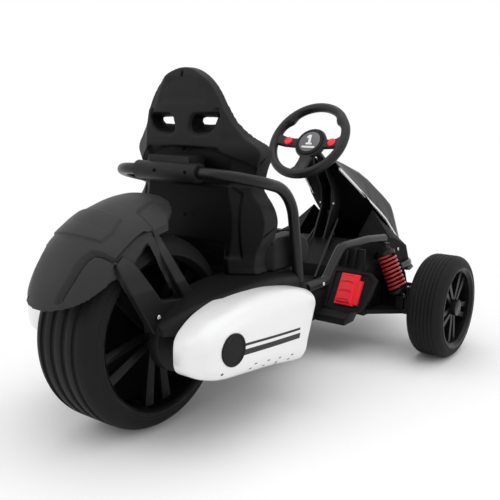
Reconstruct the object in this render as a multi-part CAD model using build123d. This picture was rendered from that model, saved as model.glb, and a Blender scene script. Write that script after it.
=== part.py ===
from build123d import *
import os
from math import cos, radians, sin

# Millimetres. X runs forward from the rear axle, Y to the left and Z up from the ground.
# At the end every piece moves so that the origin is on the ground below the kart's middle.

# Wheels: one wide driven wheel behind the seat and two steered wheels in front
wheelbase = 795
rear_tyre_radius = 210
rear_tyre_width = 180
rear_rim_radius = 165
rear_shoulder = 42
rear_hub_radius = 32
rear_face_depth = 34
front_tyre_radius = 141
front_tyre_width = 99
front_rim_radius = 104
front_shoulder = 26
front_hub_radius = 22
front_face_depth = 22
front_hub_inset = 15
cap_height = 12
rim_lip = 8
rim_wall = 6
spoke_count = 5
spoke_depth = 12
axle_radius = 8
axle_end = 10
nut_radius = 13
nut_height = 8

# Clearances
running_gap = 0.05
seat_gap = 0.3
tyre_side_gap = 16
arch_gap = 30
guard_gap = 27

# Steering: wheel, inclined column, upright drop shaft, tie rod and knuckles
steer_setback = 105
steer_z = 586
column_drop = 36.9
steer_radius = 127
grip_radius = 13
steer_dish = 15
steer_hub_radius = 49
steer_hub_height = 20
column_radius = 10
collar_wall = 3
collar_distance = 140
collar_length = 16
drop_radius = 9
drop_collar_radius = 20
drop_collar_z = 350
steer_lock = 45
knuckle_lock = 25
kingpin_inset = 74
kingpin_z = 142
kingpin_radius = 6
kingpin_head = 10
sleeve_radius = 13
sleeve_height = 58
steer_arm = 90
arm_width = 20
arm_plate = 8
tie_z = 160
tie_radius = 6
tie_pin_radius = 4
tie_eye_radius = 10
tie_eye_height = 14
crank_z = 177
crank_plate = 8
crank_width = 20
crank_pin_radius = 5
crank_slot_play = 12

# Rear body: seat base, arms beside the wheel, guard and side pods
base_front = 373
base_rear = 150
base_half = 190
base_top = 312
base_bottom = 140
base_wall = 5
ear_width = 16
ear_foot = 16
ear_tail_x = 53
boss_wall = 5
boss_height = 36
boss_drop = 8
panel_thickness = 8
panel_foot = 106
arm_thickness = 26
arm_end_radius = 68
arm_step_x = 84
arm_step_drop = 9
guard_drop = 50
guard_wall = 5
guard_rise = 50
guard_centre_x = -20
guard_front_angle = 71
guard_rear_angle = 169
stay_thickness = 24
pod_outer = 288
pod_wall = 4
pod_lip = 12
intake_depth = 18
intake_wall = 8
disc_radius = 35
disc_depth = 28
disc_x = -27
disc_y = 284
disc_z = 226
battery_size = (114, 150, 96)
motor_size = (100, 60, 76)
motor_x = 67
motor_z = 230

# Front body: spine, foot wells, bulkhead, rails, fairing and bumper
arm_reach = 116
spine_share = 0.52
bulkhead_inset = 2
floor_z = 97
spine_top = 205
bulkhead_lead = 10
bulkhead_length = 103
bulkhead_top = 292
tower_rise = 6.7
tower_width = 26
tower_lid = 4
rail_radius = 12
rail_gap = 10
rail_low = 250
rail_high = 325
rail_bend = 36
bumper_radius = 11
bumper_z = 199
bumper_inset = 2
bumper_bend = 80
bumper_setback = 33
nose_overhang = 290
fairing_wall = 4
cowl_low = 184
cowl_top = 252
cowl_wall = 5
rest_lean = (0.862, -0.5075)
dish_wall = 8
dish_depth = 4
pedal_width = 59
pedal_height = 92
pedal_depth = 12
bracket_inner = 16
bracket_outer = 21
brace_radius = 4
brace_share = 0.53

# Spring legs between the towers and the lower arms
shock_top_back = 10
shock_low_back = 5
shock_top_z = 284
shock_low_z = 148
shock_low_inset = 46
shock_splay = 58
spring_radius = 27
spring_wire = 6.5
spring_turns = 6
damper_radius = 6
damper_body = 14
damper_eye = 9
disc_inset = 12
disc_height = 10
eye_half = 7

# Seat and roll bar
seat_rear = 158
seat_top = 766
shell_depth = 38
wing_flare = 13
cushion_inset = 38
pocket_depth = 10
harness_dish = 7
bar_radius = 13
bar_inset = 1
bar_bend = 98
bar_cross_x = 114
bar_cross_share = 0.504
bar_knee_x = 296
bar_knee_drop = 47
bar_foot_back = 40
bar_foot_z = 268
clamp_half = 92
clamp_wall = 8
clamp_block = (120, 52)

# Sizes that follow
sides = (-1, 1)
front_axle = wheelbase
nose_front = front_axle + nose_overhang
bulkhead_half = base_half - bulkhead_inset
kingpin_y = bulkhead_half + arm_reach
track_half = kingpin_y + kingpin_inset
bulkhead_rear = front_axle + bulkhead_lead - bulkhead_length
bulkhead_front = front_axle + bulkhead_lead
spine_half = spine_share * bulkhead_half
arm_inner = rear_tyre_width / 2 + tyre_side_gap
arm_outer = arm_inner + arm_thickness
arch_radius = rear_tyre_radius + arch_gap
arch_half = arm_inner + 7
guard_radius = rear_tyre_radius + guard_gap
guard_half = arm_inner
guard_centre_z = rear_tyre_radius + guard_rise
stay_outer = arm_outer - 4
pod_inner = arm_outer + 2
ear_half = base_half + ear_width
bolster_outer = base_half
wing_half = bolster_outer + wing_flare
seat_height = seat_top - base_top
bar_half = ear_half - bar_inset
bar_cross_z = base_top + bar_cross_share * seat_height
bar_foot_x = base_front - bar_foot_back
shock_low = (front_axle - shock_low_back, kingpin_y - shock_low_inset, shock_low_z)
shock_top = (front_axle - shock_top_back, shock_low[1] - shock_splay, shock_top_z)
tower_top = bulkhead_top + tower_rise
bumper_y = bulkhead_half - bumper_inset
rear_tip = guard_centre_x - guard_radius * cos(radians(180 - guard_rear_angle))
to_middle = -(nose_front + rear_tip) / 2
crank_length = steer_arm * sin(radians(knuckle_lock)) / sin(radians(steer_lock))
tie_x = front_axle + steer_arm
drop_x = tie_x - crank_length
column_dir = Vector(cos(radians(column_drop)), 0, -sin(radians(column_drop)))
steer_point = Vector(front_axle - steer_setback, 0, steer_z)
joint_length = (drop_x - steer_point.X) / column_dir.X


def save(name, *shapes):
    # Writes one node, with all its solids, in the part's own frame.
    solids = [Pos(to_middle, 0, 0) * solid for shape in shapes for solid in shape.solids()]
    export_step(solids[0] if len(solids) == 1 else Compound(solids), f"parts/{name}.step")


def flip(shape):
    # The same piece on the other side of the middle plane.
    return mirror(shape, about=Plane.XZ)


def pair(shape):
    return shape, flip(shape)


def across(radius, length):
    # A cylinder along Y about the origin.
    return Rot(90, 0, 0) * Cylinder(radius, length)


def rod(start, end, radius):
    # A round bar from one point to another.
    along = Plane(start, z_dir=end - start)
    return extrude(along * Circle(radius), (end - start).length)


def side_plate(points, inner, outer):
    # A plate with an outline in X and Z, between two distances left of the middle plane.
    face = make_face(Polyline(*[(x, inner, z) for x, z in points], close=True))
    return extrude(face, amount=outer - inner, dir=(0, 1, 0))


def cross_plate(points, rear, front):
    # A plate with an outline in Y and Z, between two stations along X.
    face = make_face(Polyline(*[(rear, y, z) for y, z in points], close=True))
    return extrude(face, amount=front - rear, dir=(1, 0, 0))


def floor_plate(points, low, high):
    # A plate with an outline in X and Y, between two heights.
    face = make_face(Polyline(*[(x, y, low) for x, y in points], close=True))
    return extrude(face, amount=high - low, dir=(0, 0, 1))


def both_sides(points):
    # An outline in X and Y closed by its own mirror image.
    return points + [(x, -y) for x, y in reversed(points)]


def arch(points):
    # An outline in Y and Z closed by its own mirror image.
    return points + [(-y, z) for y, z in reversed(points)]


def tube(points, bend, radius):
    # A round tube through points with every corner bent to one radius.
    path = FilletPolyline(*points, radius=bend)
    return sweep(Plane(path @ 0, z_dir=path % 0) * Circle(radius), path)


def round_front(points):
    # A tube's points, given for the left side, carried across to the right.
    return points + [(x, -y, z) for x, y, z in reversed(points)]


def station(x):
    # A sketch plane across the kart: local X is the kart's Y and local Y is height.
    return Plane((x, 0, 0), x_dir=(0, 1, 0), z_dir=(1, 0, 0))


def at_rear(shape):
    return Pos(0, 0, rear_tyre_radius) * shape


def at_front(shape, side):
    placed = Pos(front_axle, track_half, front_tyre_radius) * shape
    return placed if side > 0 else flip(placed)


def tyre(radius, width, bore, shoulder):
    # A moulded tyre with round shoulders, bevelled beads and a plain bore.
    half = width / 2
    flat = half - shoulder
    edge = bore + rim_lip
    with BuildPart() as piece:
        with BuildSketch(Plane.XY):
            with BuildLine():
                Polyline((edge, -half), (bore, -half + rim_lip), (bore, half - rim_lip), (edge, half))
                RadiusArc((edge, half), (radius, flat), shoulder)
                Line((radius, flat), (radius, -flat))
                RadiusArc((radius, -flat), (edge, -half), shoulder)
            make_face()
        revolve(axis=Axis.Y)
    return piece.part


def rim(radius, width, hub_radius, hub_length, face_depth, faces):
    # A barrel with bevelled lips, split spokes on each open face and a bored hub.
    half = width / 2
    bed = radius - rim_wall
    lip = radius + rim_lip
    profile = [(radius, rim_lip - half), (lip, -half), (lip - rim_lip / 2, -half), (bed, rim_lip - half)]
    profile += [(r, -y) for r, y in reversed(profile)]
    piece = revolve(make_face(Polyline(*profile, close=True)), Axis.Y) + across(hub_radius, hub_length)
    root = hub_radius * 0.7
    end = bed + 1
    arm = Polyline((root, 3), (end, radius * 0.09), (end, radius * 0.24), (root, hub_radius * 0.6), close=True)
    for face in faces:
        for side in sides:
            bar = Rot(90, 0, 0) * extrude(make_face(arm), amount=spoke_depth / 2, both=True)
            bar = Pos(0, face * (half - face_depth), 0) * bar
            bar = bar if side > 0 else mirror(bar, about=Plane.XY)
            for step in range(spoke_count):
                piece += Rot(0, 90 + step * 360 / spoke_count, 0) * bar
    return piece - across(axle_radius + running_gap, 2 * width)


def add_wheels():
    save("rear_tyre", at_rear(tyre(rear_tyre_radius, rear_tyre_width, rear_rim_radius, rear_shoulder)))
    hub_length = rear_tyre_width + tyre_side_gap + 4
    wheel = rim(rear_rim_radius, rear_tyre_width, rear_hub_radius, hub_length, rear_face_depth, sides)
    save("rear_rim", at_rear(wheel))
    hub_length = front_tyre_width - 2 * front_hub_inset
    ring = tyre(front_tyre_radius, front_tyre_width, front_rim_radius, front_shoulder)
    wheel = rim(front_rim_radius, front_tyre_width, front_hub_radius, hub_length, front_face_depth, (1,))
    wheel += Pos(0, (hub_length + cap_height) / 2, 0) * across(front_hub_radius, cap_height)
    for side, name in zip(sides, ("right", "left")):
        save(f"front_tyre_{name}", at_front(ring, side))
        save(f"front_rim_{name}", at_front(wheel, side))


def add_rear_axle():
    # A fixed rod through both arms with a nut at each end.
    piece = across(axle_radius, 2 * (arm_outer + axle_end))
    nut = Rot(90, 0, 0) * extrude(RegularPolygon(nut_radius, 6), nut_height / 2, both=True)
    for side in sides:
        piece += Pos(0, side * (arm_outer + nut_height / 2), 0) * nut
    save("rear_axle", at_rear(piece))


def arm_outline(grow=0):
    # The arm's shape in X and Z: a round end about the axle that runs forward to the base.
    z = rear_tyre_radius
    r = arm_end_radius + grow
    end = base_rear - seat_gap
    step = (arm_step_x, base_top - arm_step_drop + grow)
    with BuildSketch(Plane.XZ) as sketch:
        with BuildLine():
            Polyline((0, z - r), (end, base_bottom - grow), (end, base_top + grow), step, (0, z + r))
            ThreePointArc((0, z + r), (-r, z), (0, z - r))
        make_face()
    return sketch.sketch


def add_rear_arms():
    arm = Pos(0, arm_inner, 0) * extrude(arm_outline(), -arm_thickness)
    save("rear_arms", *pair(arm - at_rear(across(axle_radius, 4 * arm_outer))))


def add_seat_base():
    # The moulded box below the seat, with the wheel's arch, side ears and a battery bay.
    wide = base_half - 4
    box = [(base_rear, base_bottom), (base_front, base_bottom), (base_front, base_top), (base_rear, base_top)]
    body = side_plate(box, -wide, wide)
    slope = ((ear_tail_x, 30), (106, 24), (196, 6), (295, -18), (351, -36), (base_front, -50))
    ear = [(x, base_top + rise) for x, rise in slope] + [(base_front, base_bottom), (base_rear, base_bottom)]
    ear += [(base_rear, base_top - ear_foot), (ear_tail_x, base_top - ear_foot)]
    wing = side_plate(ear, base_half - 30, ear_half)
    wing += Pos(bar_foot_x, bar_half, bar_foot_z - boss_drop) * Cylinder(bar_radius + boss_wall, boss_height)
    body += wing
    body += flip(wing)
    room = seat_rear - 2
    roof = base_top + 100
    seat_room = [(room, base_top), (base_front + 50, base_top), (base_front + 50, roof), (room, roof)]
    body -= side_plate(seat_room, -base_half - 6, base_half + 6)
    for pod in pair(pod_form(-seat_gap)):
        body -= pod
    body -= at_rear(across(arch_radius, 2 * arch_half))
    battery_x = (arch_radius + base_front) / 2 + 1
    on_floor = (Align.CENTER, Align.CENTER, Align.MIN)
    bay = Box(*[size + 2 * seat_gap for size in battery_size], align=on_floor)
    body -= Pos(battery_x, 0, base_bottom + base_wall - seat_gap) * bay
    body -= roll_bar_tube(seat_gap)
    save("seat_base", body)
    save("battery", Pos(battery_x, 0, base_bottom + base_wall) * Box(*battery_size, align=on_floor))
    low = base_bottom + panel_foot
    face = arch([(wide, low), (wide, base_top - 14), (wide - 10, base_top - 3)])
    save("base_front_panel", cross_plate(face, base_front, base_front + panel_thickness))


pod_front = ((246, 100), (288, 270), (288, 330))


def pod_form(inset):
    # The pod's outer form, or its hollow when inset, from sections across the kart.
    columns = (
        # x, low, high, inner, outer below the widest, outer corner, inner corner
        (-96, 214, 262, pod_inner + 52, 62, 16, 12),
        (-72, 188, 290, pod_inner + 28, 30, 34, 24),
        (-30, 167, 306, pod_inner, 9, 52, 6),
        (45, 149, 311, pod_inner, 0, 58, 6),
        (150, 133, 306, pod_inner, 2, 54, 6),
        (250, 118, 284, pod_inner, 8, 48, 6),
        (330, 108, 258, pod_inner, 16, 42, 6),
    )
    if inset > 0:
        columns = columns[2:]
    faces = []
    for x, low, high, inner, step, corner, small in columns:
        near = inner - pod_lip if inset > 0 else inner + inset
        width = pod_outer - step - inset - near
        with BuildSketch(station(x)) as sketch:
            with Locations((near + width / 2, (low + high) / 2)):
                Rectangle(width, high - low - 2 * inset)
            fillet(sketch.vertices().sort_by(Axis.X)[-2:], corner - inset)
            fillet(sketch.vertices().sort_by(Axis.X)[:2], small)
        faces.append(sketch.sketch.face())
    cut = list(pod_front) + [(400, 330), (400, 100)]
    return loft(faces, ruled=True) - side_plate(cut, 0, 2 * pod_outer)


def pod_front_line(back):
    # The slanted front edge of the pod, moved back.
    return [(x - back, z) for x, z in pod_front]


def add_pods():
    save("side_pods", *pair(pod_form(0) - pod_form(pod_wall)))
    disc = Pos(disc_x, disc_y - disc_depth / 2, disc_z) * across(disc_radius, disc_depth)
    save("pod_discs", *pair(disc - pod_form(-seat_gap)))
    slab = pod_front_line(intake_depth) + pod_front_line(intake_depth + intake_wall)[::-1]
    liner = pod_form(pod_wall + seat_gap) & side_plate(slab, pod_inner + seat_gap, pod_outer)
    save("pod_intakes", *pair(liner))
    block = Pos(motor_x, arm_outer + seat_gap + motor_size[1] / 2, motor_z) * Box(*motor_size)
    save("drive_motors", *pair(block))


def guard(grow):
    # The wheel guard's section: a crowned top over upright sides.
    r = guard_radius + grow
    half = guard_half + grow
    brow = r - guard_drop
    core = rear_tyre_radius / 2
    with BuildSketch(Plane.XY) as sketch:
        with BuildLine():
            ThreePointArc((brow, -half), (r, 0), (brow, half))
            Polyline((brow, half), (core, half), (core, -half), (brow, -half))
        make_face()
    return sketch.sketch


def about_guard(points):
    # Points about the guard's own centre.
    return [(guard_centre_x + x, guard_centre_z + z) for x, z in points]


def add_fender():
    centre = Pos(guard_centre_x, 0, guard_centre_z)
    span = guard_rear_angle - guard_front_angle
    forms = [Rot(0, -guard_rear_angle, 0) * revolve(guard(grow), Axis.Y, span) for grow in (0, -guard_wall)]
    outer, hollow = [centre * form for form in forms]
    brow = guard_radius - guard_drop
    dome = outer - centre * across(brow - 14, 3 * guard_half)
    skirt = about_guard([(-280, 15), (-193, 71), (-148, 105), (-100, 112), (-100, -60), (-280, -60)])
    dome -= side_plate(skirt, -2 * guard_half, 2 * guard_half)
    chine = ((74, 40), (34, 82), (8, 98), (-4, 108), (-4, 150), (100, 150), (100, 40))
    trim = floor_plate(chine, guard_centre_z + guard_radius / 2, guard_centre_z + guard_radius + 10)
    dome -= trim
    dome -= flip(trim)
    outline = [(-148, 144), (-128, 184), (-78, 198), (-30, 180), (79, 22), (40, 2), (-50, -24)]
    outline += [(-102, 62), (-130, 106)]
    window = [(-90, 125), (-58, 152), (-42, 164), (38, 32), (-26, 42)]
    leg = side_plate(about_guard(outline), stay_outer - stay_thickness, stay_outer)
    leg -= side_plate(about_guard(window), 0, 2 * stay_outer)
    leg &= centre * across(brow + 8, 2 * stay_outer)
    leg -= Pos(0, arm_inner - 20, 0) * extrude(arm_outline(seat_gap), -60)
    save("rear_fender", dome + leg + flip(leg) - hollow)


def roll_bar_tube(grow=0):
    leg = (bar_foot_x, bar_half, bar_foot_z)
    knee = (bar_knee_x, bar_half, bar_cross_z - bar_knee_drop)
    corner = (bar_cross_x, bar_half, bar_cross_z)
    return tube(round_front([leg, knee, corner]), bar_bend, bar_radius + grow)


def add_roll_bar():
    save("roll_bar", roll_bar_tube())
    reach = seat_rear + pocket_depth - bar_cross_x
    block = Pos(reach / 2, 0, clamp_wall) * Box(reach, *clamp_block)
    clamp = across(bar_radius + clamp_wall, 2 * clamp_half) + block - across(bar_radius, 4 * clamp_half)
    save("roll_bar_clamp", Pos(bar_cross_x, 0, bar_cross_z) * clamp)


def on_back(points):
    # Points on the seat's back: half width, and the share of its height above the base.
    return [(y, base_top + share * seat_height) for y, share in points]


def add_seat():
    # The shell is the rear outline crossed with a plan section that curls forward at the wings.
    front = seat_rear + shell_depth
    wing = wing_half
    plan = [(seat_rear, 112), (seat_rear + 48, wing - 7), (seat_rear + 88, wing), (seat_rear + 98, wing - 11)]
    plan += [(front + 6, 118), (front, 100)]
    shoulders = on_back([(0.97 * wing, 0.084), (wing, 0.238), (wing + 1, 0.3), (0.94 * wing, 0.388)])
    shoulders += on_back([(0.98 * wing, 0.502), (0.95 * wing, 0.601), (0.7 * wing, 0.694)])
    head = on_back([(110, 0.802), (77, 0.916)])
    edge = shoulders + head
    foot = arch([edge[0], (bolster_outer, base_top)])
    with BuildSketch(Plane.YZ) as outline:
        with BuildLine():
            Spline(*edge, (0, seat_top), *[(-y, z) for y, z in reversed(edge)])
            Polyline(*foot)
        make_face()
    back = floor_plate(both_sides(plan), base_top, seat_top) & extrude(outline.sketch, base_front)
    lumbar = [(seat_rear, base_top), (front + 42, base_top), (front + 38, base_top + 40)]
    lumbar += [(front, base_top + 128), (seat_rear, base_top + 128)]
    back += side_plate(lumbar, -112, 112)
    back -= at_rear(across(arch_radius, 2 * arch_half))
    pocket = arch(on_back([(150, -0.03), (150, 0.515), (104, 0.617)]))
    back -= cross_plate(pocket, seat_rear - 40, seat_rear + pocket_depth)
    hole = on_back([(20, 0.692), (98, 0.681), (92, 0.78), (26, 0.762)])
    dish = on_back([(14, 0.668), (108, 0.655), (101, 0.806), (20, 0.786)])
    for side in sides:
        back -= cross_plate([(side * y, z) for y, z in dish], seat_rear - 40, seat_rear + harness_dish)
        back -= cross_plate([(side * y, z) for y, z in hole], seat_rear - 40, front + 40)
    back -= roll_bar_tube(1)
    save("seat_back", back)
    half = bolster_outer - cushion_inset
    nose = base_front + 30
    side_view = [(front + 42, 0), (nose, 0), (nose, 18), (nose - 13, 26), (front + 39, 32)]
    cushion = side_plate([(x, base_top + rise) for x, rise in side_view], -half, half)
    side_view = [(front + 19, 0), (nose - 7, 0), (nose, 33), (nose - 15, 62), (nose - 58, 79)]
    side_view += [(front + 79, 76), (front + 29, 54)]
    bolster = side_plate([(x, base_top + rise) for x, rise in side_view], half, bolster_outer)
    save("seat_pan", cushion + bolster + flip(bolster) - back - roll_bar_tube(1))


def add_floor():
    # The spine between the driver's legs and a foot well on each side.
    low, high = floor_z, spine_top
    half = spine_half
    outline = arch([(half, low), (half, high - 39), (half - 12, high - 31), (half - 20, high)])
    spine = cross_plate(outline, base_front, bulkhead_rear)
    ramp = [(bulkhead_rear - 142, high + 35), (bulkhead_rear - 142, high)]
    ramp += [(bulkhead_rear, high - 15), (bulkhead_rear, high + 35)]
    save("floor_tub", spine - side_plate(ramp, -half - 2, half + 2))
    add_foot_wells()
    add_bulkhead()


def add_foot_wells():
    # Each well has a sloped foot rest with a dished face; the right one carries the pedal.
    back = bulkhead_rear
    side_view = [(back - 114, floor_z), (back - 62, floor_z), (back, floor_z + 53), (back, floor_z + 193)]
    side_view += [(back - 11, floor_z + 193), (back - 18, floor_z + 139), (back - 82, floor_z + 31)]
    side_view += [(back - 114, floor_z + 19)]
    well = side_plate(side_view, spine_half, bulkhead_half)
    lean_x, lean_z = rest_lean
    rest = Plane((back - 77, 0, floor_z + 46), x_dir=(0, 1, 0), z_dir=(lean_x, 0, lean_z))
    inner = spine_half
    edge = bulkhead_half
    rim_line = [(inner, 102), (edge + 33, 102), (edge + 56, 84), (edge + 48, 30), (edge + 28, -10)]
    rim_line += [(edge - 28, -22), (inner, -14)]
    floor_line = [(inner + 14, 94), (edge + 24, 94), (edge + 42, 78), (edge + 36, 32), (edge + 18, -2)]
    floor_line += [(edge - 28, -12), (inner + 14, -6)]
    for line, depth, sign in ((rim_line, dish_wall, 1), (floor_line, dish_depth, -1)):
        with BuildSketch(rest) as sketch:
            Polygon(*line, align=None)
        slab = extrude(sketch.sketch, depth)
        well = well + slab if sign > 0 else well - slab
    pitch = (edge - inner) / 3.6
    for step in (0.56, 1.56, 2.56):
        rib = [(back - 20, floor_z + 141), (back - 10, floor_z + 195)]
        rib += [(back - 16, floor_z + 195), (back - 30, floor_z + 147)]
        well += side_plate(rib, inner + step * pitch, inner + step * pitch + 6)
    save("foot_wells", *pair(well))
    near = inner + 35
    with BuildSketch(rest) as pad:
        with Locations((near + pedal_width / 2, pedal_height / 2)):
            Rectangle(pedal_width, pedal_height)
    pedal = extrude(pad.sketch, -pedal_depth) + extrude(pad.sketch, dish_depth - seat_gap)
    save("accelerator_pedal", flip(pedal))


def add_bulkhead():
    # The closed block between the foot wells and the front arms, with a tower over each spring.
    half = bulkhead_half
    outline = [(half, floor_z), (half, floor_z + 139), (half - 38, floor_z + 165), (half - 102, bulkhead_top)]
    bulkhead = cross_plate(arch(outline), bulkhead_rear, bulkhead_front)
    over = bulkhead_top + 9
    hump = [(bulkhead_rear, over - 75), (bulkhead_front - 31, bulkhead_top), (bulkhead_front - 31, over)]
    bulkhead -= side_plate(hump + [(bulkhead_rear, over)], -half, half)
    x, y, z = shock_top
    out = y + tower_width / 2 + 1
    inside = half - 38
    tower = [(half - 68, floor_z + 165), (half - 14, floor_z + 151), (half - 12, floor_z + 166), (out, z - 3)]
    tower += [(out, tower_top), (inside, tower_top)]
    lid = [(inside, tower_top - tower_lid), (out, tower_top - tower_lid), (out, tower_top), (inside, tower_top)]
    post = cross_plate(lid, x - tower_width / 2, x + tower_width / 2)
    cheek = tower_width / 2 - eye_half - seat_gap
    for near in (x - tower_width / 2, x + eye_half + seat_gap):
        post += cross_plate(tower, near, near + cheek)
    bulkhead += post
    bulkhead += flip(post)
    save("front_bulkhead", bulkhead)


def add_rails():
    # Tubes from the seat base that rise over the foot wells to the shock towers.
    run = bulkhead_rear - base_front
    y = base_half + rail_gap
    rest_z = tower_top + rail_radius + seat_gap
    points = [(base_front, y, rail_low), (base_front + 0.267 * run, y, rail_low)]
    points += [(base_front + run / 2, y, rail_high), (bulkhead_rear - 26, y, rail_high - 3)]
    points += [(shock_top[0], y, rest_z)]
    save("side_rails", *pair(tube(points, rail_bend, rail_radius)))


def add_suspension():
    # A lower arm on each side holds the kingpin and the foot of the spring leg.
    thick = 12
    low = kingpin_z - 42
    root = [(bulkhead_rear + 10, bulkhead_half), (bulkhead_front - 5, bulkhead_half)]
    tip = [(front_axle + 16, kingpin_y - 34), (front_axle + 16, kingpin_y + 13)]
    tip += [(front_axle - 16, kingpin_y + 13), (front_axle - 16, kingpin_y - 34)]
    carrier = floor_plate(root + tip, low, low + thick)
    top_z = kingpin_z + sleeve_height / 2 + 1
    carrier += Pos(front_axle, kingpin_y - 6, top_z + arm_plate / 2) * Box(32, 35, arm_plate)
    web_height = top_z + arm_plate - low - thick
    carrier += Pos(front_axle - 8, kingpin_y - 21, low + thick + web_height / 2) * Box(20, 5, web_height)
    lug = Box(5, 20, 42)
    for side in sides:
        x = shock_low[0] + side * (eye_half + seat_gap + 2.5)
        carrier += Pos(x, shock_low[1], low + 29) * lug
    carrier -= Pos(front_axle, kingpin_y, kingpin_z) * Cylinder(kingpin_radius, 200)
    save("lower_arms", *pair(carrier))
    pin = Pos(front_axle, kingpin_y, kingpin_z) * Cylinder(kingpin_radius, sleeve_height + 30)
    pin += Pos(front_axle, kingpin_y, top_z + arm_plate + 3) * Cylinder(kingpin_head, 6)
    save("kingpins", *pair(pin))


def add_knuckles():
    sleeve = Pos(front_axle, kingpin_y, kingpin_z) * Cylinder(sleeve_radius, sleeve_height)
    tip = track_half + front_tyre_width / 2 - front_hub_inset - 3
    spindle = Pos(front_axle, (kingpin_y + tip) / 2, front_tyre_radius) * across(axle_radius, tip - kingpin_y)
    flange = Pos(front_axle, kingpin_y + 18, front_tyre_radius) * across(14, 14)
    arm_z = tie_z - tie_eye_height / 2 - seat_gap - arm_plate / 2
    length = steer_arm + arm_width / 2
    arm = Pos(front_axle + length / 2, kingpin_y, arm_z) * Box(length, arm_width, arm_plate)
    pin = Pos(tie_x, kingpin_y, tie_z - 2) * Cylinder(tie_pin_radius, tie_eye_height + arm_plate)
    bore = Pos(front_axle, kingpin_y, kingpin_z) * Cylinder(kingpin_radius + running_gap, 200)
    knuckle = sleeve + spindle + flange + arm + pin - bore
    save("knuckle_left", knuckle)
    save("knuckle_right", flip(knuckle))
    bar = across(tie_radius, 2 * (kingpin_y - tie_pin_radius))
    bar += Pos(-4, 0, 0) * Box(40, 34, tie_eye_height)
    for side in sides:
        bar += Pos(0, side * kingpin_y, 0) * Cylinder(tie_eye_radius, tie_eye_height)
        bar -= Pos(0, side * kingpin_y, 0) * Cylinder(tie_pin_radius + 4 * running_gap, 60)
    bar -= Pos(-4, 0, 0) * Box(2 * crank_pin_radius + crank_slot_play, 2 * crank_pin_radius + 4, 60)
    save("tie_rod", Pos(tie_x, 0, tie_z) * bar)


def add_shocks():
    dampers = []
    springs = []
    shelf = disc_inset + disc_height
    for side in sides:
        top = Vector(shock_top[0], side * shock_top[1], shock_top[2])
        low = Vector(shock_low[0], side * shock_low[1], shock_low[2])
        axis = (low - top).normalized()
        length = (low - top).length
        along = Plane(top, z_dir=axis, x_dir=(1, 0, 0))
        damper = rod(top, low, damper_radius)
        for place in (0, length):
            damper += along * Pos(0, 0, place) * Rot(0, 90, 0) * Cylinder(damper_eye, 2 * eye_half)
        damper += rod(top + axis * disc_inset, top + axis * shelf, spring_radius)
        damper += rod(top + axis * shelf, top + axis * (shelf + 48), damper_body)
        damper += rod(low - axis * shelf, low - axis * disc_inset, spring_radius)
        dampers.append(damper)
        free = length - 2 * shelf - spring_wire
        coil = Helix(free / spring_turns, free, spring_radius - spring_wire / 2)
        section = Plane(coil @ 0, z_dir=coil % 0) * RegularPolygon(spring_wire / 2, 6)
        spring = sweep(section, coil, is_frenet=True)
        springs.append(along * Pos(0, 0, shelf + spring_wire / 2) * spring)
    save("shock_dampers", *dampers)
    save("shock_springs", *springs)


def add_steering():
    plane = Plane(steer_point, x_dir=(0, 1, 0), z_dir=-column_dir)
    middle = steer_radius - grip_radius
    face = 4 - steer_dish
    wheel = Torus(middle, grip_radius)
    wheel += Pos(0, 0, face - steer_hub_height / 2) * Cylinder(steer_hub_radius, steer_hub_height)
    side_view = [(20, face - 14), (middle - 22, face - 14), (middle, -5)]
    side_view += [(middle, 7), (middle - 26, face), (20, face)]
    for turn, width in ((0, 34), (180, 34), (90, 44)):
        wheel += Rot(0, 0, turn) * side_plate(side_view, -width / 2, width / 2)
    save("steering_wheel", plane * wheel)
    save("hub_cap", plane * Pos(0, 0, face + 3) * Cylinder(steer_hub_radius - 8, 6))
    button = Cylinder(8, 6)
    save("horn_buttons", *[plane * Pos(side * (middle - 40), 0, face + 3) * button for side in sides])
    start = steer_point + column_dir * (steer_hub_height - face)
    save("steering_shaft", rod(start, steer_point + column_dir * (joint_length - 18), column_radius))
    drop_top = (steer_point + column_dir * joint_length).Z - 8
    drop = Pos(drop_x, 0, (drop_top + crank_z) / 2) * Cylinder(drop_radius, drop_top - crank_z)
    crank = Box(crank_length + crank_width, crank_width, crank_plate)
    drop += Pos(drop_x + crank_length / 2, 0, crank_z) * crank
    pin_height = crank_z - tie_z + crank_plate + 4
    drop += Pos(drop_x + crank_length, 0, tie_z + 4) * Cylinder(crank_pin_radius, pin_height)
    save("drop_shaft", drop)


fairing_columns = (
    # x past the front axle, low, high, bottom half, top half, corner
    (-45, 508, 534, 72, 44, 14),
    (20, 460, 515, 84, 50, 24),
    (100, 398, 487, 100, 60, 34),
    (140, 368, 465, 108, 68, 38),
    (175, 338, 438, 116, 78, 40),
    (205, 304, 416, 123, 87, 42),
    (235, 270, 390, 130, 96, 42),
    (257, 254, 366, 127, 93, 40),
    (275, 246, 342, 120, 88, 34),
    (nose_overhang, 258, 316, 100, 74, 20),
)


def fairing_bend(half_low, low, half_high, high, corner):
    # An upturned U with two rounded corners.
    points = [(half_low, low), (half_high, high), (-half_high, high), (-half_low, low)]
    return FilletPolyline(*points, radius=corner)


def fairing_band(x, low, high, bottom, top, corner):
    # One section of the shell: an upturned U of even wall.
    wall = fairing_wall
    outer = fairing_bend(bottom, low, top, high, corner)
    inner = fairing_bend(bottom - wall, low, top - wall, high - wall, corner - wall)
    ends = [Line(outer @ place, inner @ place).edge() for place in (0, 1)]
    return (station(front_axle + x) * make_face(outer.edges() + inner.edges() + ends)).face()


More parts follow.
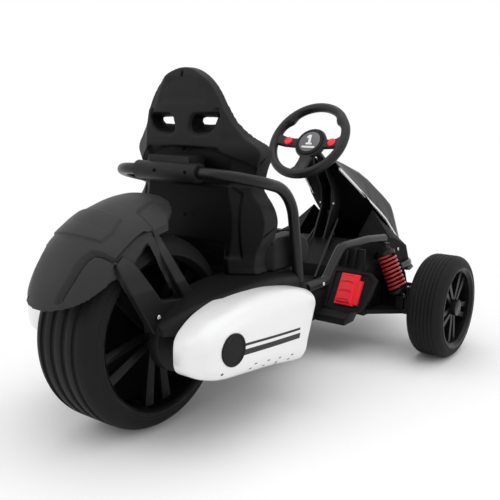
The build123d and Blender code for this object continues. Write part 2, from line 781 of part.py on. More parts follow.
def add_fairing():
    shell = loft([fairing_band(*row) for row in fairing_columns], ruled=True)
    x, low, high, bottom, top, corner = fairing_columns[-1]
    with BuildSketch(station(front_axle + x)) as nose:
        with BuildLine():
            bend = fairing_bend(bottom, low, top, high, corner)
            Line(bend @ 0, bend @ 1)
        make_face()
    shell += extrude(nose.sketch, -fairing_wall)
    shell -= rod(steer_point, steer_point + column_dir * 160, column_radius + 5)
    save("fairing_shell", shell)
    strip = []
    for x, low, high, half, top, corner in fairing_columns[:7]:
        foot = low - seat_gap
        with BuildSketch(station(front_axle + x)) as sketch:
            Polygon((half - 5, foot), (half, foot), (half, foot - 7), (half - 5, foot - 7), align=None)
        strip.append(sketch.sketch.face())
    save("fairing_trim", *pair(loft(strip, ruled=True)))


def cowl_form(inset):
    # The cowl between its low and its top outline, from the rear edge round to the nose.
    lines = (
        # height, then x behind the nose and half width
        (cowl_low, ((-149, bumper_y - 36), (-123, bumper_y + 20), (-69, bumper_y + 8), (-8, bumper_y - 74))),
        (cowl_top, ((-127, 116), (-100, 122), (-45, 118), (-11, 92))),
    )
    faces = []
    for z, line in lines:
        rear, *rest = [(nose_front + x, y - inset) for x, y in line]
        points = [(rear[0] + inset, rear[1])] + [(x - inset / 2, y) for x, y in rest]
        outline = Polyline(*[(x, y, z - inset) for x, y in both_sides(points)], close=True)
        faces.append(make_face(outline).face())
    return loft(faces, ruled=True)


def add_nose():
    # A tube round the front, and the lower cowl that closes on it below the fairing.
    foot = (bulkhead_front, bumper_y, bumper_z)
    corner = (nose_front - bumper_setback, bumper_y, bumper_z)
    points = round_front([foot, corner])
    save("front_bumper", tube(points, bumper_bend, bumper_radius))
    cowl = cowl_form(0) - cowl_form(cowl_wall) - tube(points, bumper_bend, bumper_radius + seat_gap)
    save("nose_cowl", max(cowl.solids(), key=lambda solid: solid.volume))


def add_column_bracket():
    # Two plates on the bulkhead that hold the column's collar and the drop shaft's collar.
    rear, front = fairing_columns[:2]
    foot = [(bulkhead_front - 53, bulkhead_top), (bulkhead_front - 5, bulkhead_top)]
    stem = [(front_axle + 51, bulkhead_top + 94), (front_axle + 47, bulkhead_top + 148)]
    crown = [(front_axle + row[0], row[2] - fairing_wall - seat_gap) for row in (front, rear)]
    back = [(front_axle - 39, bulkhead_top + 208), (front_axle + 1, bulkhead_top + 148)]
    back += [(front_axle + 5, bulkhead_top + 94)]
    plate = side_plate(foot + stem + crown + back, bracket_inner, bracket_outer)
    bracket = plate + flip(plate)
    collar = steer_point + column_dir * collar_distance
    centre = collar + column_dir * (collar_length / 2)
    bracket += rod(collar, collar + column_dir * collar_length, column_radius + collar_wall)
    bracket += Pos(centre.X, 0, centre.Z - 4) * Box(14, 2 * bracket_outer - 6, 14)
    bracket += Pos(drop_x, 0, drop_collar_z) * Cylinder(drop_collar_radius, 40)
    bracket -= rod(steer_point, collar + column_dir * 60, column_radius + running_gap)
    bracket -= Pos(drop_x, 0, drop_collar_z) * Cylinder(drop_radius + running_gap, 400)
    save("column_bracket", bracket)
    head = Vector(front_axle + 27, bracket_outer + 4.4, bulkhead_top + 53)
    foot = Vector(bulkhead_rear - 47, brace_share * spine_half, spine_top - 6.5)
    save("column_braces", *pair(rod(head, foot, brace_radius)))


os.makedirs("parts", exist_ok=True)
add_wheels()
add_rear_axle()
add_rear_arms()
add_seat_base()
add_pods()
add_fender()
add_roll_bar()
add_seat()
add_floor()
add_rails()
add_suspension()
add_knuckles()
add_shocks()
add_steering()
add_fairing()
add_nose()
add_column_bracket()
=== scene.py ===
from math import atan2, cos, pi, radians, sin, sqrt

import bmesh
import bpy
import numpy as np
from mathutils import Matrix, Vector
from mathutils.bvhtree import BVHTree


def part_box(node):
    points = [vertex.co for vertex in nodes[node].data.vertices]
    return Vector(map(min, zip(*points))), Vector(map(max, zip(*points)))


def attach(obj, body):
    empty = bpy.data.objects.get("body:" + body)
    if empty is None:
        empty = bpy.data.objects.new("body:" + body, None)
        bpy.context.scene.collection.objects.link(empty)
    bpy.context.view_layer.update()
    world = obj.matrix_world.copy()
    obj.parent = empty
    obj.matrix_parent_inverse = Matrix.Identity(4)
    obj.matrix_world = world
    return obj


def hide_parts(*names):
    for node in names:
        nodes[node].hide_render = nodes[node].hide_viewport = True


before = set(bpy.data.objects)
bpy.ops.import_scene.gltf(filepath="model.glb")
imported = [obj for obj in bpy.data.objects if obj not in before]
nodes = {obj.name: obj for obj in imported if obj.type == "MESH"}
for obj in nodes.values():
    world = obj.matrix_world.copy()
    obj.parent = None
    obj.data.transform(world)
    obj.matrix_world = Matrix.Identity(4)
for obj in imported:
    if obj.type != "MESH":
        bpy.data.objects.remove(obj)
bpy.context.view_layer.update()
print("frame loaded:", len(nodes), "nodes")

# Places below are in millimetres from the ground under the rear axle, as x forward, y left, z up
tyreLow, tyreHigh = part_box("rear_tyre")
axleX = (tyreLow.x + tyreHigh.x) / 2
sides = (-1, 1)
mm = 0.001
weldGap = 0.00002  # metres


def spot(x, y, z):
    return Vector((axleX + x * mm, y * mm, z * mm))


def addNode(tree, kind, place, **settings):
    node = tree.nodes.new(kind)
    node.location = place
    for key, value in settings.items():
        node.inputs[key].default_value = value
    return node


def mathNode(tree, operation, place, first, second=None):
    node = addNode(tree, "ShaderNodeMath", place)
    node.operation = operation
    tree.links.new(first, node.inputs[0])
    if second is not None:
        tree.links.new(second, node.inputs[1])
    return node.outputs[0]


def rampNode(tree, place, value, ends, spread=(0, 1)):
    # Maps a value that runs between two ends onto a spread
    node = addNode(tree, "ShaderNodeMapRange", place)
    for name, limit in zip(("From Min", "From Max", "To Min", "To Max"), (*ends, *spread)):
        node.inputs[name].default_value = limit
    tree.links.new(value, node.inputs["Value"])
    return node


def noiseNode(tree, place, spots, **settings):
    node = addNode(tree, "ShaderNodeTexNoise", place, **settings)
    tree.links.new(spots, node.inputs["Vector"])
    return node.outputs["Fac"]


def colourMix(tree, place, share, low, high):
    # Each end is a plain colour, as a list, or the output of another node
    node = addNode(tree, "ShaderNodeMix", place)
    node.data_type = "RGBA"
    tree.links.new(share, node.inputs[0])
    for slot, end in ((6, low), (7, high)):
        if isinstance(end, list):
            node.inputs[slot].default_value = end
        else:
            tree.links.new(end, node.inputs[slot])
    return node.outputs[2]


def shaderMix(tree, share, near, far, output):
    mix = addNode(tree, "ShaderNodeMixShader", (200, 0))
    for k, end in enumerate((share, near.outputs[0], far.outputs[0])):
        tree.links.new(end, mix.inputs[k])
    tree.links.new(mix.outputs[0], tree.nodes[output].inputs[0])


def tone(colour, scale, lift=0.0):
    return [min(1, c * scale + lift) for c in colour] + [1]


def moulded(name, colour, rough, mottle, grain, bump, coat, metal, shine, wear, darkBand):
    # Moulded or painted surface: colour drift, roughness drift, fine grain, paler worn edges and an optional
    # darker band by position, which on the seat is painted shade
    mat = bpy.data.materials.new(name)
    mat.use_nodes = True
    tree = mat.node_tree
    link = tree.links.new
    shader = tree.nodes["Principled BSDF"]
    shader.inputs["Metallic"].default_value = metal
    shader.inputs["Coat Weight"].default_value = coat
    shader.inputs["Coat Roughness"].default_value = 0.08
    shader.inputs["Specular IOR Level"].default_value = shine
    place = addNode(tree, "ShaderNodeTexCoord", (-1300, 0))
    spots = place.outputs["Object"]
    drift = noiseNode(tree, (-1060, 240), spots, Scale=6.0, Detail=5.0, Roughness=0.6)
    tint = colourMix(tree, (-640, 240), drift, tone(colour, 1 - mottle), tone(colour, 1 + mottle))
    if wear:
        # Handling marks on raised edges, broken up by a second noise
        edge = addNode(tree, "ShaderNodeNewGeometry", (-1060, 560))
        pick = rampNode(tree, (-860, 560), edge.outputs["Pointiness"], (0.53, 0.62))
        scuff = noiseNode(tree, (-1060, 760), spots, Scale=60.0, Detail=4.0)
        both = mathNode(tree, "MULTIPLY", (-640, 620), pick.outputs["Result"], scuff)
        tint = colourMix(tree, (-400, 300), both, tint, tone(colour, 1, wear))
    # A darker band by position; on the seat it is painted shade on the lower back
    if darkBand:
        axis, dark, light, deep, rearOnly = darkBand
        part = addNode(tree, "ShaderNodeSeparateXYZ", (-1060, 900))
        link(spots, part.inputs[0])
        size = mathNode(tree, "ABSOLUTE", (-860, 900), part.outputs[axis])
        share = rampNode(tree, (-640, 900), size, (dark, light)).outputs["Result"]
        if rearOnly:
            turn = addNode(tree, "ShaderNodeSeparateXYZ", (-860, 1100))
            link(place.outputs["Normal"], turn.inputs[0])
            flank = rampNode(tree, (-640, 1100), turn.outputs["X"], (-0.95, -0.6))
            share = mathNode(tree, "MAXIMUM", (-420, 900), share, flank.outputs["Result"])
        tint = colourMix(tree, (-220, 300), share, tone(colour, deep), tint)
    link(tint, shader.inputs["Base Color"])
    smear = noiseNode(tree, (-1060, -120), spots, Scale=34.0, Detail=6.0, Roughness=0.65)
    spread = rampNode(tree, (-820, -120), smear, (0, 1), (rough * 0.82, min(1, rough * 1.18)))
    link(spread.outputs["Result"], shader.inputs["Roughness"])
    fine = noiseNode(tree, (-1060, -380), spots, Scale=grain, Detail=3.0, Roughness=0.55)
    relief = addNode(tree, "ShaderNodeBump", (-640, -380), Strength=bump, Distance=0.0005)
    link(fine, relief.inputs["Height"])
    link(relief.outputs["Normal"], shader.inputs["Normal"])
    return mat


finishes = {
    # name: CAD slot, colour, rough, mottle, grain, bump, coat, metal, shine, wear
    "tyreRubber": ("tyre_rubber", (0.0075, 0.0075, 0.008), 0.62, 0.25, 500, 0.3, 0, 0, 0.16, 0.008),
    "blackPlastic": ("black_plastic", (0.007, 0.007, 0.0073), 0.5, 0.12, 900, 0.2, 0, 0, 0.17, 0.01),
    # The seat's plastic carries painted shade on its lower back, set in the table below
    "seatPlasticPaintedShade": ("black_plastic", (0.017, 0.017, 0.0175), 0.52, 0.12, 1100, 0.25, 0, 0, 0.1, 0.008),
    # Black plastic darkened further as painted shade, for liners, funnels, slots, intakes and parts deep
    # inside
    "deepPlastic": ("black_plastic", (0.0022, 0.0022, 0.0023), 0.65, 0.12, 900, 0.15, 0, 0, 0.08, 0),
    "satinPlastic": ("black_plastic", (0.013, 0.013, 0.0135), 0.36, 0.12, 900, 0.1, 0, 0, 0.26, 0.012),
    "greyPlastic": ("grey_plastic", (0.026, 0.026, 0.027), 0.48, 0.08, 1000, 0.25, 0, 0, 0.2, 0.02),
    "rimPlastic": ("rim_plastic", (0.0055, 0.0055, 0.0058), 0.3, 0.12, 900, 0.06, 0, 0, 0.14, 0.01),
    "whitePlastic": ("white_plastic", (0.84, 0.84, 0.845), 0.3, 0.015, 900, 0.03, 0.25, 0, 0.5, 0),
    "redPlastic": ("red_plastic", (0.96, 0.012, 0.028), 0.34, 0.05, 900, 0.05, 0, 0, 0.5, 0),
    "blackPaint": ("black_steel", (0.006, 0.006, 0.0065), 0.34, 0.12, 1500, 0.08, 0.05, 0, 0.24, 0.012),
    "redPaint": ("red_steel", (0.42, 0.008, 0.012), 0.32, 0.12, 900, 0.04, 0.3, 0, 0.5, 0.05),
    "brightSteel": ("bright_steel", (0.62, 0.62, 0.63), 0.28, 0.12, 900, 0.03, 0, 1, 0.5, 0),
    "zincBolt": ("bright_steel", (0.72, 0.72, 0.7), 0.3, 0.12, 900, 0.05, 0, 1, 0.5, 0),
    "silverPlastic": ("hub_plastic", (0.12, 0.12, 0.125), 0.32, 0.3, 900, 0.06, 0, 0.2, 0.5, 0),
    "paleInk": ("hub_plastic", (0.8, 0.8, 0.81), 0.4, 0.12, 900, 0.03, 0, 0, 0.5, 0),
    "blackInk": ("black_plastic", (0.012, 0.012, 0.012), 0.35, 0.12, 900, 0.03, 0, 0, 0.3, 0),
}
darkening = {
    # axis, where it is dark and light in metres, depth, whether only on faces to the rear
    # Painted shade: the seat's lower back, on faces to the rear, is darkened to a small share
    "seatPlasticPaintedShade": ("Z", 0.55, 0.6, 0.08, True),
    "greyPlastic": ("Y", 0.118, 0.104, 0.3, False),
}
paint = {name: moulded(name, *look, darkening.get(name)) for name, (slot, *look) in finishes.items()}

nodeFinish = {
    "tyreRubber": ["rear_tyre", "front_tyre_left", "front_tyre_right"],
    "rimPlastic": ["rear_rim", "front_rim_left", "front_rim_right"],
    "greyPlastic": ["rear_fender"],
    "whitePlastic": ["side_pods", "base_front_panel", "fairing_trim"],
    "redPlastic": ["accelerator_pedal", "horn_buttons"],
    "satinPlastic": ["steering_wheel", "fairing_shell"],
    # Intakes, battery and motors sit in shade, painted into their black plastic
    "deepPlastic": ["pod_intakes", "battery", "drive_motors"],
    "blackPaint": ["roll_bar", "side_rails", "front_bumper", "column_bracket", "column_braces"]
    + ["knuckle_left", "knuckle_right", "tie_rod", "drop_shaft", "steering_shaft", "shock_dampers"],
    "redPaint": ["shock_springs"],
    "brightSteel": ["rear_axle", "kingpins"],
    "silverPlastic": ["hub_cap"],
}
for node in nodes.values():
    node.data.materials.clear()
    node.data.materials.append(paint["blackPlastic"])
for finish, names in nodeFinish.items():
    for name in names:
        nodes[name].data.materials[0] = paint[finish]


def addWeld(piece):
    join = piece.modifiers.new("weld", "WELD")
    join.merge_threshold = weldGap


def roundEdges(piece, width, turn=30, weld=True):
    # Edges get the small radius that a moulded or folded piece has
    if weld:
        addWeld(piece)
        flat = piece.modifiers.new("flat", "DECIMATE")
        flat.decimate_type = "DISSOLVE"
        flat.angle_limit = radians(0.6)
    bevel = piece.modifiers.new("edge", "BEVEL")
    bevel.width = width * mm
    bevel.segments = 2
    bevel.limit_method = "ANGLE"
    bevel.angle_limit = radians(turn)
    bevel.harden_normals = True
    for face in piece.data.polygons:
        face.use_smooth = True


edgeWidth = {
    3: ["floor_tub", "foot_wells", "front_bulkhead", "nose_cowl"],
    1.5: ["rear_rim", "front_rim_left", "front_rim_right", "rear_arms", "roll_bar_clamp"],
    0.8: ["column_bracket", "lower_arms", "knuckle_left", "knuckle_right", "tie_rod", "base_front_panel"]
    + ["drop_shaft", "rear_axle", "kingpins", "shock_dampers"],
}
for width, names in edgeWidth.items():
    for name in names:
        roundEdges(nodes[name], width)
roundEdges(nodes["fairing_shell"], 4, 8)
print("CAD nodes finished")


def faceOut(mesh):
    # Turns all faces of a closed mesh outward
    work = bmesh.new()
    work.from_mesh(mesh)
    bmesh.ops.recalc_face_normals(work, faces=work.faces)
    work.to_mesh(mesh)
    work.free()


def rawPiece(name, points, faces):
    mesh = bpy.data.meshes.new(name)
    mesh.from_pydata([spot(*point) for point in points], [], faces)
    piece = bpy.data.objects.new(name, mesh)
    bpy.context.scene.collection.objects.link(piece)
    return piece


def dress(piece, body, finish, gone=(), turn=35):
    mesh = piece.data
    faceOut(mesh)
    for face in mesh.polygons:
        face.use_smooth = True
    mesh.set_sharp_from_angle(angle=radians(turn))
    mesh.materials.clear()
    mesh.materials.append(paint[finish])
    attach(piece, body)
    if gone:
        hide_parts(*gone)
    return piece


def addPiece(name, points, faces, body, finish, gone=(), turn=35):
    return dress(rawPiece(name, points, faces), body, finish, gone, turn)


def bake(piece):
    # Leaves the piece as a plain mesh with its modifiers applied
    graph = bpy.context.evaluated_depsgraph_get()
    done = bpy.data.meshes.new_from_object(piece.evaluated_get(graph))
    piece.modifiers.clear()
    piece.data = done


def tool(points, faces):
    piece = rawPiece("tool", points, faces)
    faceOut(piece.data)
    return piece


def carve(piece, cutter, kind="DIFFERENCE"):
    cut = piece.modifiers.new("cut", "BOOLEAN")
    cut.object = cutter
    cut.operation = kind
    cut.solver = "EXACT"
    bake(piece)
    bpy.data.objects.remove(cutter)


def soften(piece, cell, rounds):
    # A fine even skin, relaxed so that every edge turns over softly as on a blown moulding
    skin = piece.modifiers.new("skin", "REMESH")
    skin.mode = "VOXEL"
    skin.voxel_size = cell * mm
    relax = piece.modifiers.new("relax", "SMOOTH")
    relax.factor = 0.5
    relax.iterations = rounds
    bake(piece)


def copyNode(name, title):
    piece = bpy.data.objects.new(title, nodes[name].data.copy())
    piece.matrix_world = nodes[name].matrix_world.copy()
    bpy.context.scene.collection.objects.link(piece)
    addWeld(piece)
    bake(piece)
    return piece


def prism(outline, start, end):
    # A closed solid from an outline and two shifts of it
    count = len(outline)
    points = [tuple(a + b for a, b in zip(p, start)) for p in outline]
    points += [tuple(a + b for a, b in zip(p, end)) for p in outline]
    faces = [tuple(range(count)), tuple(range(2 * count - 1, count - 1, -1))]
    faces += [(k, (k + 1) % count, (k + 1) % count + count, k + count) for k in range(count)]
    return points, faces


def lofted(rings, capped=True):
    count = len(rings[0])
    points = [p for ring in rings for p in ring]
    faces = []
    for k in range(len(rings) - 1):
        for j in range(count):
            a = k * count + j
            b = k * count + (j + 1) % count
            faces.append((a, b, b + count, a + count))
    if capped:
        faces.append(tuple(range(count)))
        faces.append(tuple(reversed(range(len(points) - count, len(points)))))
    return points, faces


def turned(profile, centre, steps):
    # A closed outline of (radius, height) turned about the y axis through a point
    cx, cy, cz = centre
    points = []
    faces = []
    count = len(profile)
    for k in range(steps):
        c = cos(2 * pi * k / steps)
        s = sin(2 * pi * k / steps)
        for r, h in profile:
            points.append((cx + r * c, cy + h, cz + r * s))
        for j in range(count):
            a = k * count + j
            b = k * count + (j + 1) % count
            faces.append((a, b, (b + count) % (steps * count), (a + count) % (steps * count)))
    return points, faces


def sweepTube(path, radius, turns=12):
    # A round tube along points in millimetres; the radius may be a list
    line = [Vector(p) for p in path]
    angles = np.linspace(0, 2 * pi, turns, endpoint=False)
    rings = []
    side = None
    for k, place in enumerate(line):
        ahead = (line[min(k + 1, len(line) - 1)] - line[max(k - 1, 0)]).normalized()
        if side is None:
            side = ahead.orthogonal().normalized()
        side = (side - ahead * side.dot(ahead)).normalized()
        up = ahead.cross(side)
        r = radius[k] if isinstance(radius, list) else radius
        rings.append([tuple(place + side * r * cos(a) + up * r * sin(a)) for a in angles])
    return lofted(rings)


def joined(parts):
    points = []
    faces = []
    for more, shapes in parts:
        faces += [tuple(k + len(points) for k in face) for face in shapes]
        points += more
    return points, faces


def nearLine(u, v, line):
    # Distance from points to an open line
    near = np.full(len(u), 1e9)
    for (au, av), (bu, bv) in zip(line, line[1:]):
        du = bu - au
        dv = bv - av
        t = np.clip(((u - au) * du + (v - av) * dv) / (du * du + dv * dv), 0, 1)
        near = np.minimum(near, np.hypot(u - au - t * du, v - av - t * dv))
    return near


def insideBy(u, v, outline):
    # How far points lie inside a closed outline, in its own units; negative outside
    loop = [*outline, outline[0]]
    odd = np.zeros(len(u), bool)
    for (au, av), (bu, bv) in zip(loop, loop[1:]):
        if av != bv:
            odd ^= ((av > v) != (bv > v)) & (u < au + (v - av) * (bu - au) / (bv - av))
    near = nearLine(u, v, loop)
    return np.where(odd, near, -near)


def follow(table, at):
    # Reads a table of (place, value) rows between its rows
    return np.interp(at, [a for a, b in table], [b for a, b in table])


def smoothed(values, reach):
    # Running mean over this many neighbours on each side
    width = 2 * reach + 1
    return np.convolve(np.pad(values, reach, "edge"), np.ones(width) / width, "valid")


def readVertices(piece, what):
    values = np.empty(len(piece.data.vertices) * 3)
    piece.data.vertices.foreach_get(what, values)
    return values.reshape(-1, 3)


def readSkin(piece):
    return (readVertices(piece, "co") - np.array([axleX, 0, 0])) / mm


def writeSkin(piece, spots):
    moved = spots * mm + np.array([axleX, 0, 0])
    piece.data.vertices.foreach_set("co", moved.ravel())
    piece.data.update()


def step(value, soft):
    share = np.clip(value / soft + 0.5, 0, 1)
    return share * share * (3 - 2 * share)


def press(piece, outline, depth, soft):
    # Sinks the skin that faces the rear, inside an outline of (y, z)
    spots = readSkin(piece)
    share = step(insideBy(spots[:, 1], spots[:, 2], outline), soft)
    share *= step(-readVertices(piece, "normal")[:, 0] - 0.3, 0.3)
    spots[:, 0] += share * depth
    writeSkin(piece, spots)


def skinTree(piece):
    work = bmesh.new()
    work.from_mesh(piece.data)
    tree = BVHTree.FromBMesh(work)
    work.free()
    return tree


def onSkin(tree, x, z, side, lift):
    # The place on a skin seen from one side, lifted off it
    hit, normal = tree.ray_cast(spot(x, side * 400, z), Vector((0, -side, 0)))[:2]
    if hit is None:
        return None
    place = hit + normal * lift * mm
    return ((place.x - axleX) / mm, place.y / mm, place.z / mm)


def patch(tree, corners, side, lift, across=6, along=24):
    # A thin skin between four corners, laid on a moulding
    (ax, az), (bx, bz), (cx, cz), (dx, dz) = corners
    layers = []
    for height in (lift, -0.6):
        grid = []
        for i in range(along + 1):
            s = i / along
            for j in range(across + 1):
                t = j / across
                x = (ax * (1 - s) + bx * s) * (1 - t) + (dx * (1 - s) + cx * s) * t
                z = (az * (1 - s) + bz * s) * (1 - t) + (dz * (1 - s) + cz * s) * t
                grid.append(onSkin(tree, x, z, side, height))
        layers.append(grid)
    if any(place is None for grid in layers for place in grid):
        return [], []
    row = across + 1
    count = len(layers[0])
    faces = []
    for i in range(along):
        for j in range(across):
            a = i * row + j
            faces.append((a, a + 1, a + row + 1, a + row))
            faces.append((count + a, count + a + row, count + a + row + 1, count + a + 1))
    border = [j for j in range(row)] + [i * row + across for i in range(1, along + 1)]
    border += [along * row + j for j in range(across - 1, -1, -1)]
    border += [i * row for i in range(along - 1, 0, -1)]
    for k, a in enumerate(border):
        b = border[(k + 1) % len(border)]
        faces.append((a, b, b + count, a + count))
    return layers[0] + layers[1], faces


rearTyre = {
    "centre": (0, 0, 210),
    "radius": 210,
    "width": 180,
    "bore": 165,
    "creases": {3: 1.2, 4: 1.2, 12: 0.7},  # depth at points of the side wall
    "shoulder": 42,
    "grooves": (-47, -16, 16, 47),
    "grooveWidth": 14,
    "grooveDepth": 4,
    "steps": 168,
}
frontTyre = {
    "centre": (795, 378, 141),
    "radius": 141,
    "width": 99,
    "bore": 104,
    "creases": {3: 1.2, 4: 1.2, 12: 0.7},
    "shoulder": 26,
    "grooves": (-26, -15.5, -5, 5, 15.5, 26),
    "grooveWidth": 4,
    "grooveDepth": 2.2,
    "steps": 128,
}


def arcPoints(start, end, radius, count):
    # Points on a bulging arc, without its end
    start = Vector(start)
    end = Vector(end)
    chord = end - start
    rise = sqrt(radius**2 - (chord.length / 2) ** 2)
    side = Vector((chord.y, -chord.x)).normalized()
    centre = (start + end) / 2 - side * rise
    if centre.x > (start.x + end.x) / 2:
        centre = (start + end) / 2 + side * rise
    first = atan2(start.y - centre.y, start.x - centre.x)
    last = atan2(end.y - centre.y, end.x - centre.x)
    angles = [first + (last - first) * k / count for k in range(count)]
    return [(centre.x + radius * cos(a), centre.y + radius * sin(a)) for a in angles]


def tyreHalf(look):
    # Outline of one half, from the bead up over the shoulder to the middle
    half = look["width"] / 2
    flat = half - look["shoulder"]
    edge = look["bore"] + 8
    points = [(look["bore"], half - 8), (look["bore"] + 3, half - 4), (edge - 1, half - 1)]
    wall = arcPoints((edge, half), (look["radius"], flat), look["shoulder"], 22)
    for k, (r, y) in enumerate(wall):
        dip = look["creases"].get(k, 0)
        points.append((r - dip * 0.4, y - dip))
    return points


def tyreProfile(look):
    half = tyreHalf(look)
    radius = look["radius"]
    tread = []
    for y in sorted(look["grooves"], reverse=True):
        w = look["grooveWidth"] / 2
        d = look["grooveDepth"]
        tread += [(radius, y + w + 0.8), (radius - 0.4, y + w), (radius - d, y + w - 1.6)]
        tread += [(radius - d, y - w + 1.6), (radius - 0.4, y - w), (radius, y - w - 0.8)]
    kept = []
    for r, y in tread:
        # Outer grooves follow the shoulder's curve
        over = abs(y) - (look["width"] / 2 - look["shoulder"])
        fall = look["shoulder"] - sqrt(look["shoulder"] ** 2 - over**2) if over > 0 else 0
        kept.append((r - fall, y))
    highest = max(y for r, y in kept)
    half = [(r, y) for r, y in half if y > highest + 1]
    return half + kept + [(r, -y) for r, y in reversed(half)]


def buildTyres():
    points, faces = turned(tyreProfile(rearTyre), rearTyre["centre"], rearTyre["steps"])
    addPiece("ribbedRearTyre", points, faces, "rear_wheel", "tyreRubber", ["rear_tyre"], 28)
    x, y, z = frontTyre["centre"]
    for side, name in ((-1, "right"), (1, "left")):
        points, faces = turned(tyreProfile(frontTyre), (x, side * y, z), frontTyre["steps"])
        piece = f"ribbedFrontTyre{name.title()}"
        addPiece(piece, points, faces, f"front_wheel_{name[0]}", "tyreRubber", [f"front_tyre_{name}"], 28)


buildTyres()
print("tyres built")


seatLook = {
    "cell": 2.8,
    "rounds": 6,
    "back": 158,
    "dome": 11,
    "domeFrom": 700,
    "domeSpan": 66,
    "firm": 96,  # half width that stays as it is
    "plugDepth": (0.2, 37.8),
    # the pan and the base
    "lowCell": 3.4,
    "baseTop": 309,
    "baseEnd": 222,
    "baseFlat": 140,
    "baseFall": 0.25,
    # outlines on the seat's back as (y, z)
    "smile": ((-172, 510), (-176, 548), (-117, 578), (-55, 592))
    + ((55, 592), (117, 578), (176, 548), (172, 510)),
    "lowPanel": ((-146, 350), (-147, 493), (-125, 511), (125, 511), (147, 493), (146, 350)),
    "topSlot": ((-3, 744), (3, 744), (3, 757), (-3, 757)),
    "crown": ((-66, 690), (66, 690), (60, 724), (30, 742), (-30, 742), (-60, 724)),
    "plug": ((10, 610), (116, 610), (104, 650), (88, 676), (10, 678)),
    "funnelRear": ((19, 634), (24, 656), (34, 667), (62, 668), (102, 670))
    + ((106, 660), (93, 634), (76, 621), (42, 616), (24, 620)),
    "funnelFront": ((33, 648), (35, 655), (44, 658), (62, 658), (85, 657))
    + ((90, 654), (87, 647), (80, 641), (54, 640), (37, 641)),
    # share of the way from the rear outline to the front one, and place behind the back's face
    "funnelSteps": ((0, -3), (0, 0.5), (0.25, 9), (0.6, 18), (0.9, 28), (1, 35), (1, 60)),
    # outline, depth and softness, in the order in which they are pressed
    "pressed": (("smile", 12, 6), ("lowPanel", 5, 8), ("crown", 2.5, 16), ("topSlot", 9, 3)),
    # pinched slots on each wing, drawn as dark patches of painted shade, as (x, z) pairs at the ends, with a
    # width
    "dashes": ((211, 561, 234, 577, 11), (204, 403, 240, 418, 12)),
    # half width of the wings at each height
    "wings": ((288, 172), (358, 172), (395, 196), (430, 206), (462, 194), (484, 168))
    + ((507, 161), (538, 172), (570, 186), (590, 186), (612, 156), (630, 138)),
    "head": ((590, 186), (612, 156), (630, 138), (650, 118), (694, 93), (746, 62), (766, 40)),
}


def fitWidth(piece, table, firm):
    # Draws the sides in or out to a half width given at each height
    spots = readSkin(piece)
    low = table[0][0]
    high = table[-1][0]
    band = 6
    count = int((high - low) / band)
    heights = low + band * (np.arange(count) + 0.5)
    index = np.clip(((spots[:, 2] - low) / band).astype(int), 0, count - 1)
    widest = np.array([np.abs(spots[index == k, 1]).max(initial=0) for k in range(count)])
    widest[widest == 0] = widest[widest > 0][0]
    now = np.interp(spots[:, 2], heights, smoothed(widest, 2))
    fine = np.linspace(low, high, 200)
    wanted = np.interp(spots[:, 2], fine, smoothed(follow(table, fine), 8))
    inside = step(high - spots[:, 2] - 10, 20)
    ratio = 1 + ((wanted - firm) / (now - firm) - 1) * inside
    beyond = np.maximum(np.abs(spots[:, 1]) - firm, 0)
    spots[:, 1] += np.sign(spots[:, 1]) * beyond * (ratio - 1)
    writeSkin(piece, spots)


def domeHead(piece):
    # The back of the head curves forward towards its outline
    look = seatLook
    spots = readSkin(piece)
    aside = np.clip(np.abs(spots[:, 1]) / follow(look["head"], spots[:, 2]), 0, 1) ** 5
    above = np.clip((spots[:, 2] - look["domeFrom"]) / look["domeSpan"], 0, 1) ** 3
    rear = step(look["back"] + 22 - spots[:, 0], 24)
    high = step(spots[:, 2] - look["head"][0][0] - 14, 26)
    spots[:, 0] += look["dome"] * np.maximum(aside, above) * rear * high
    writeSkin(piece, spots)


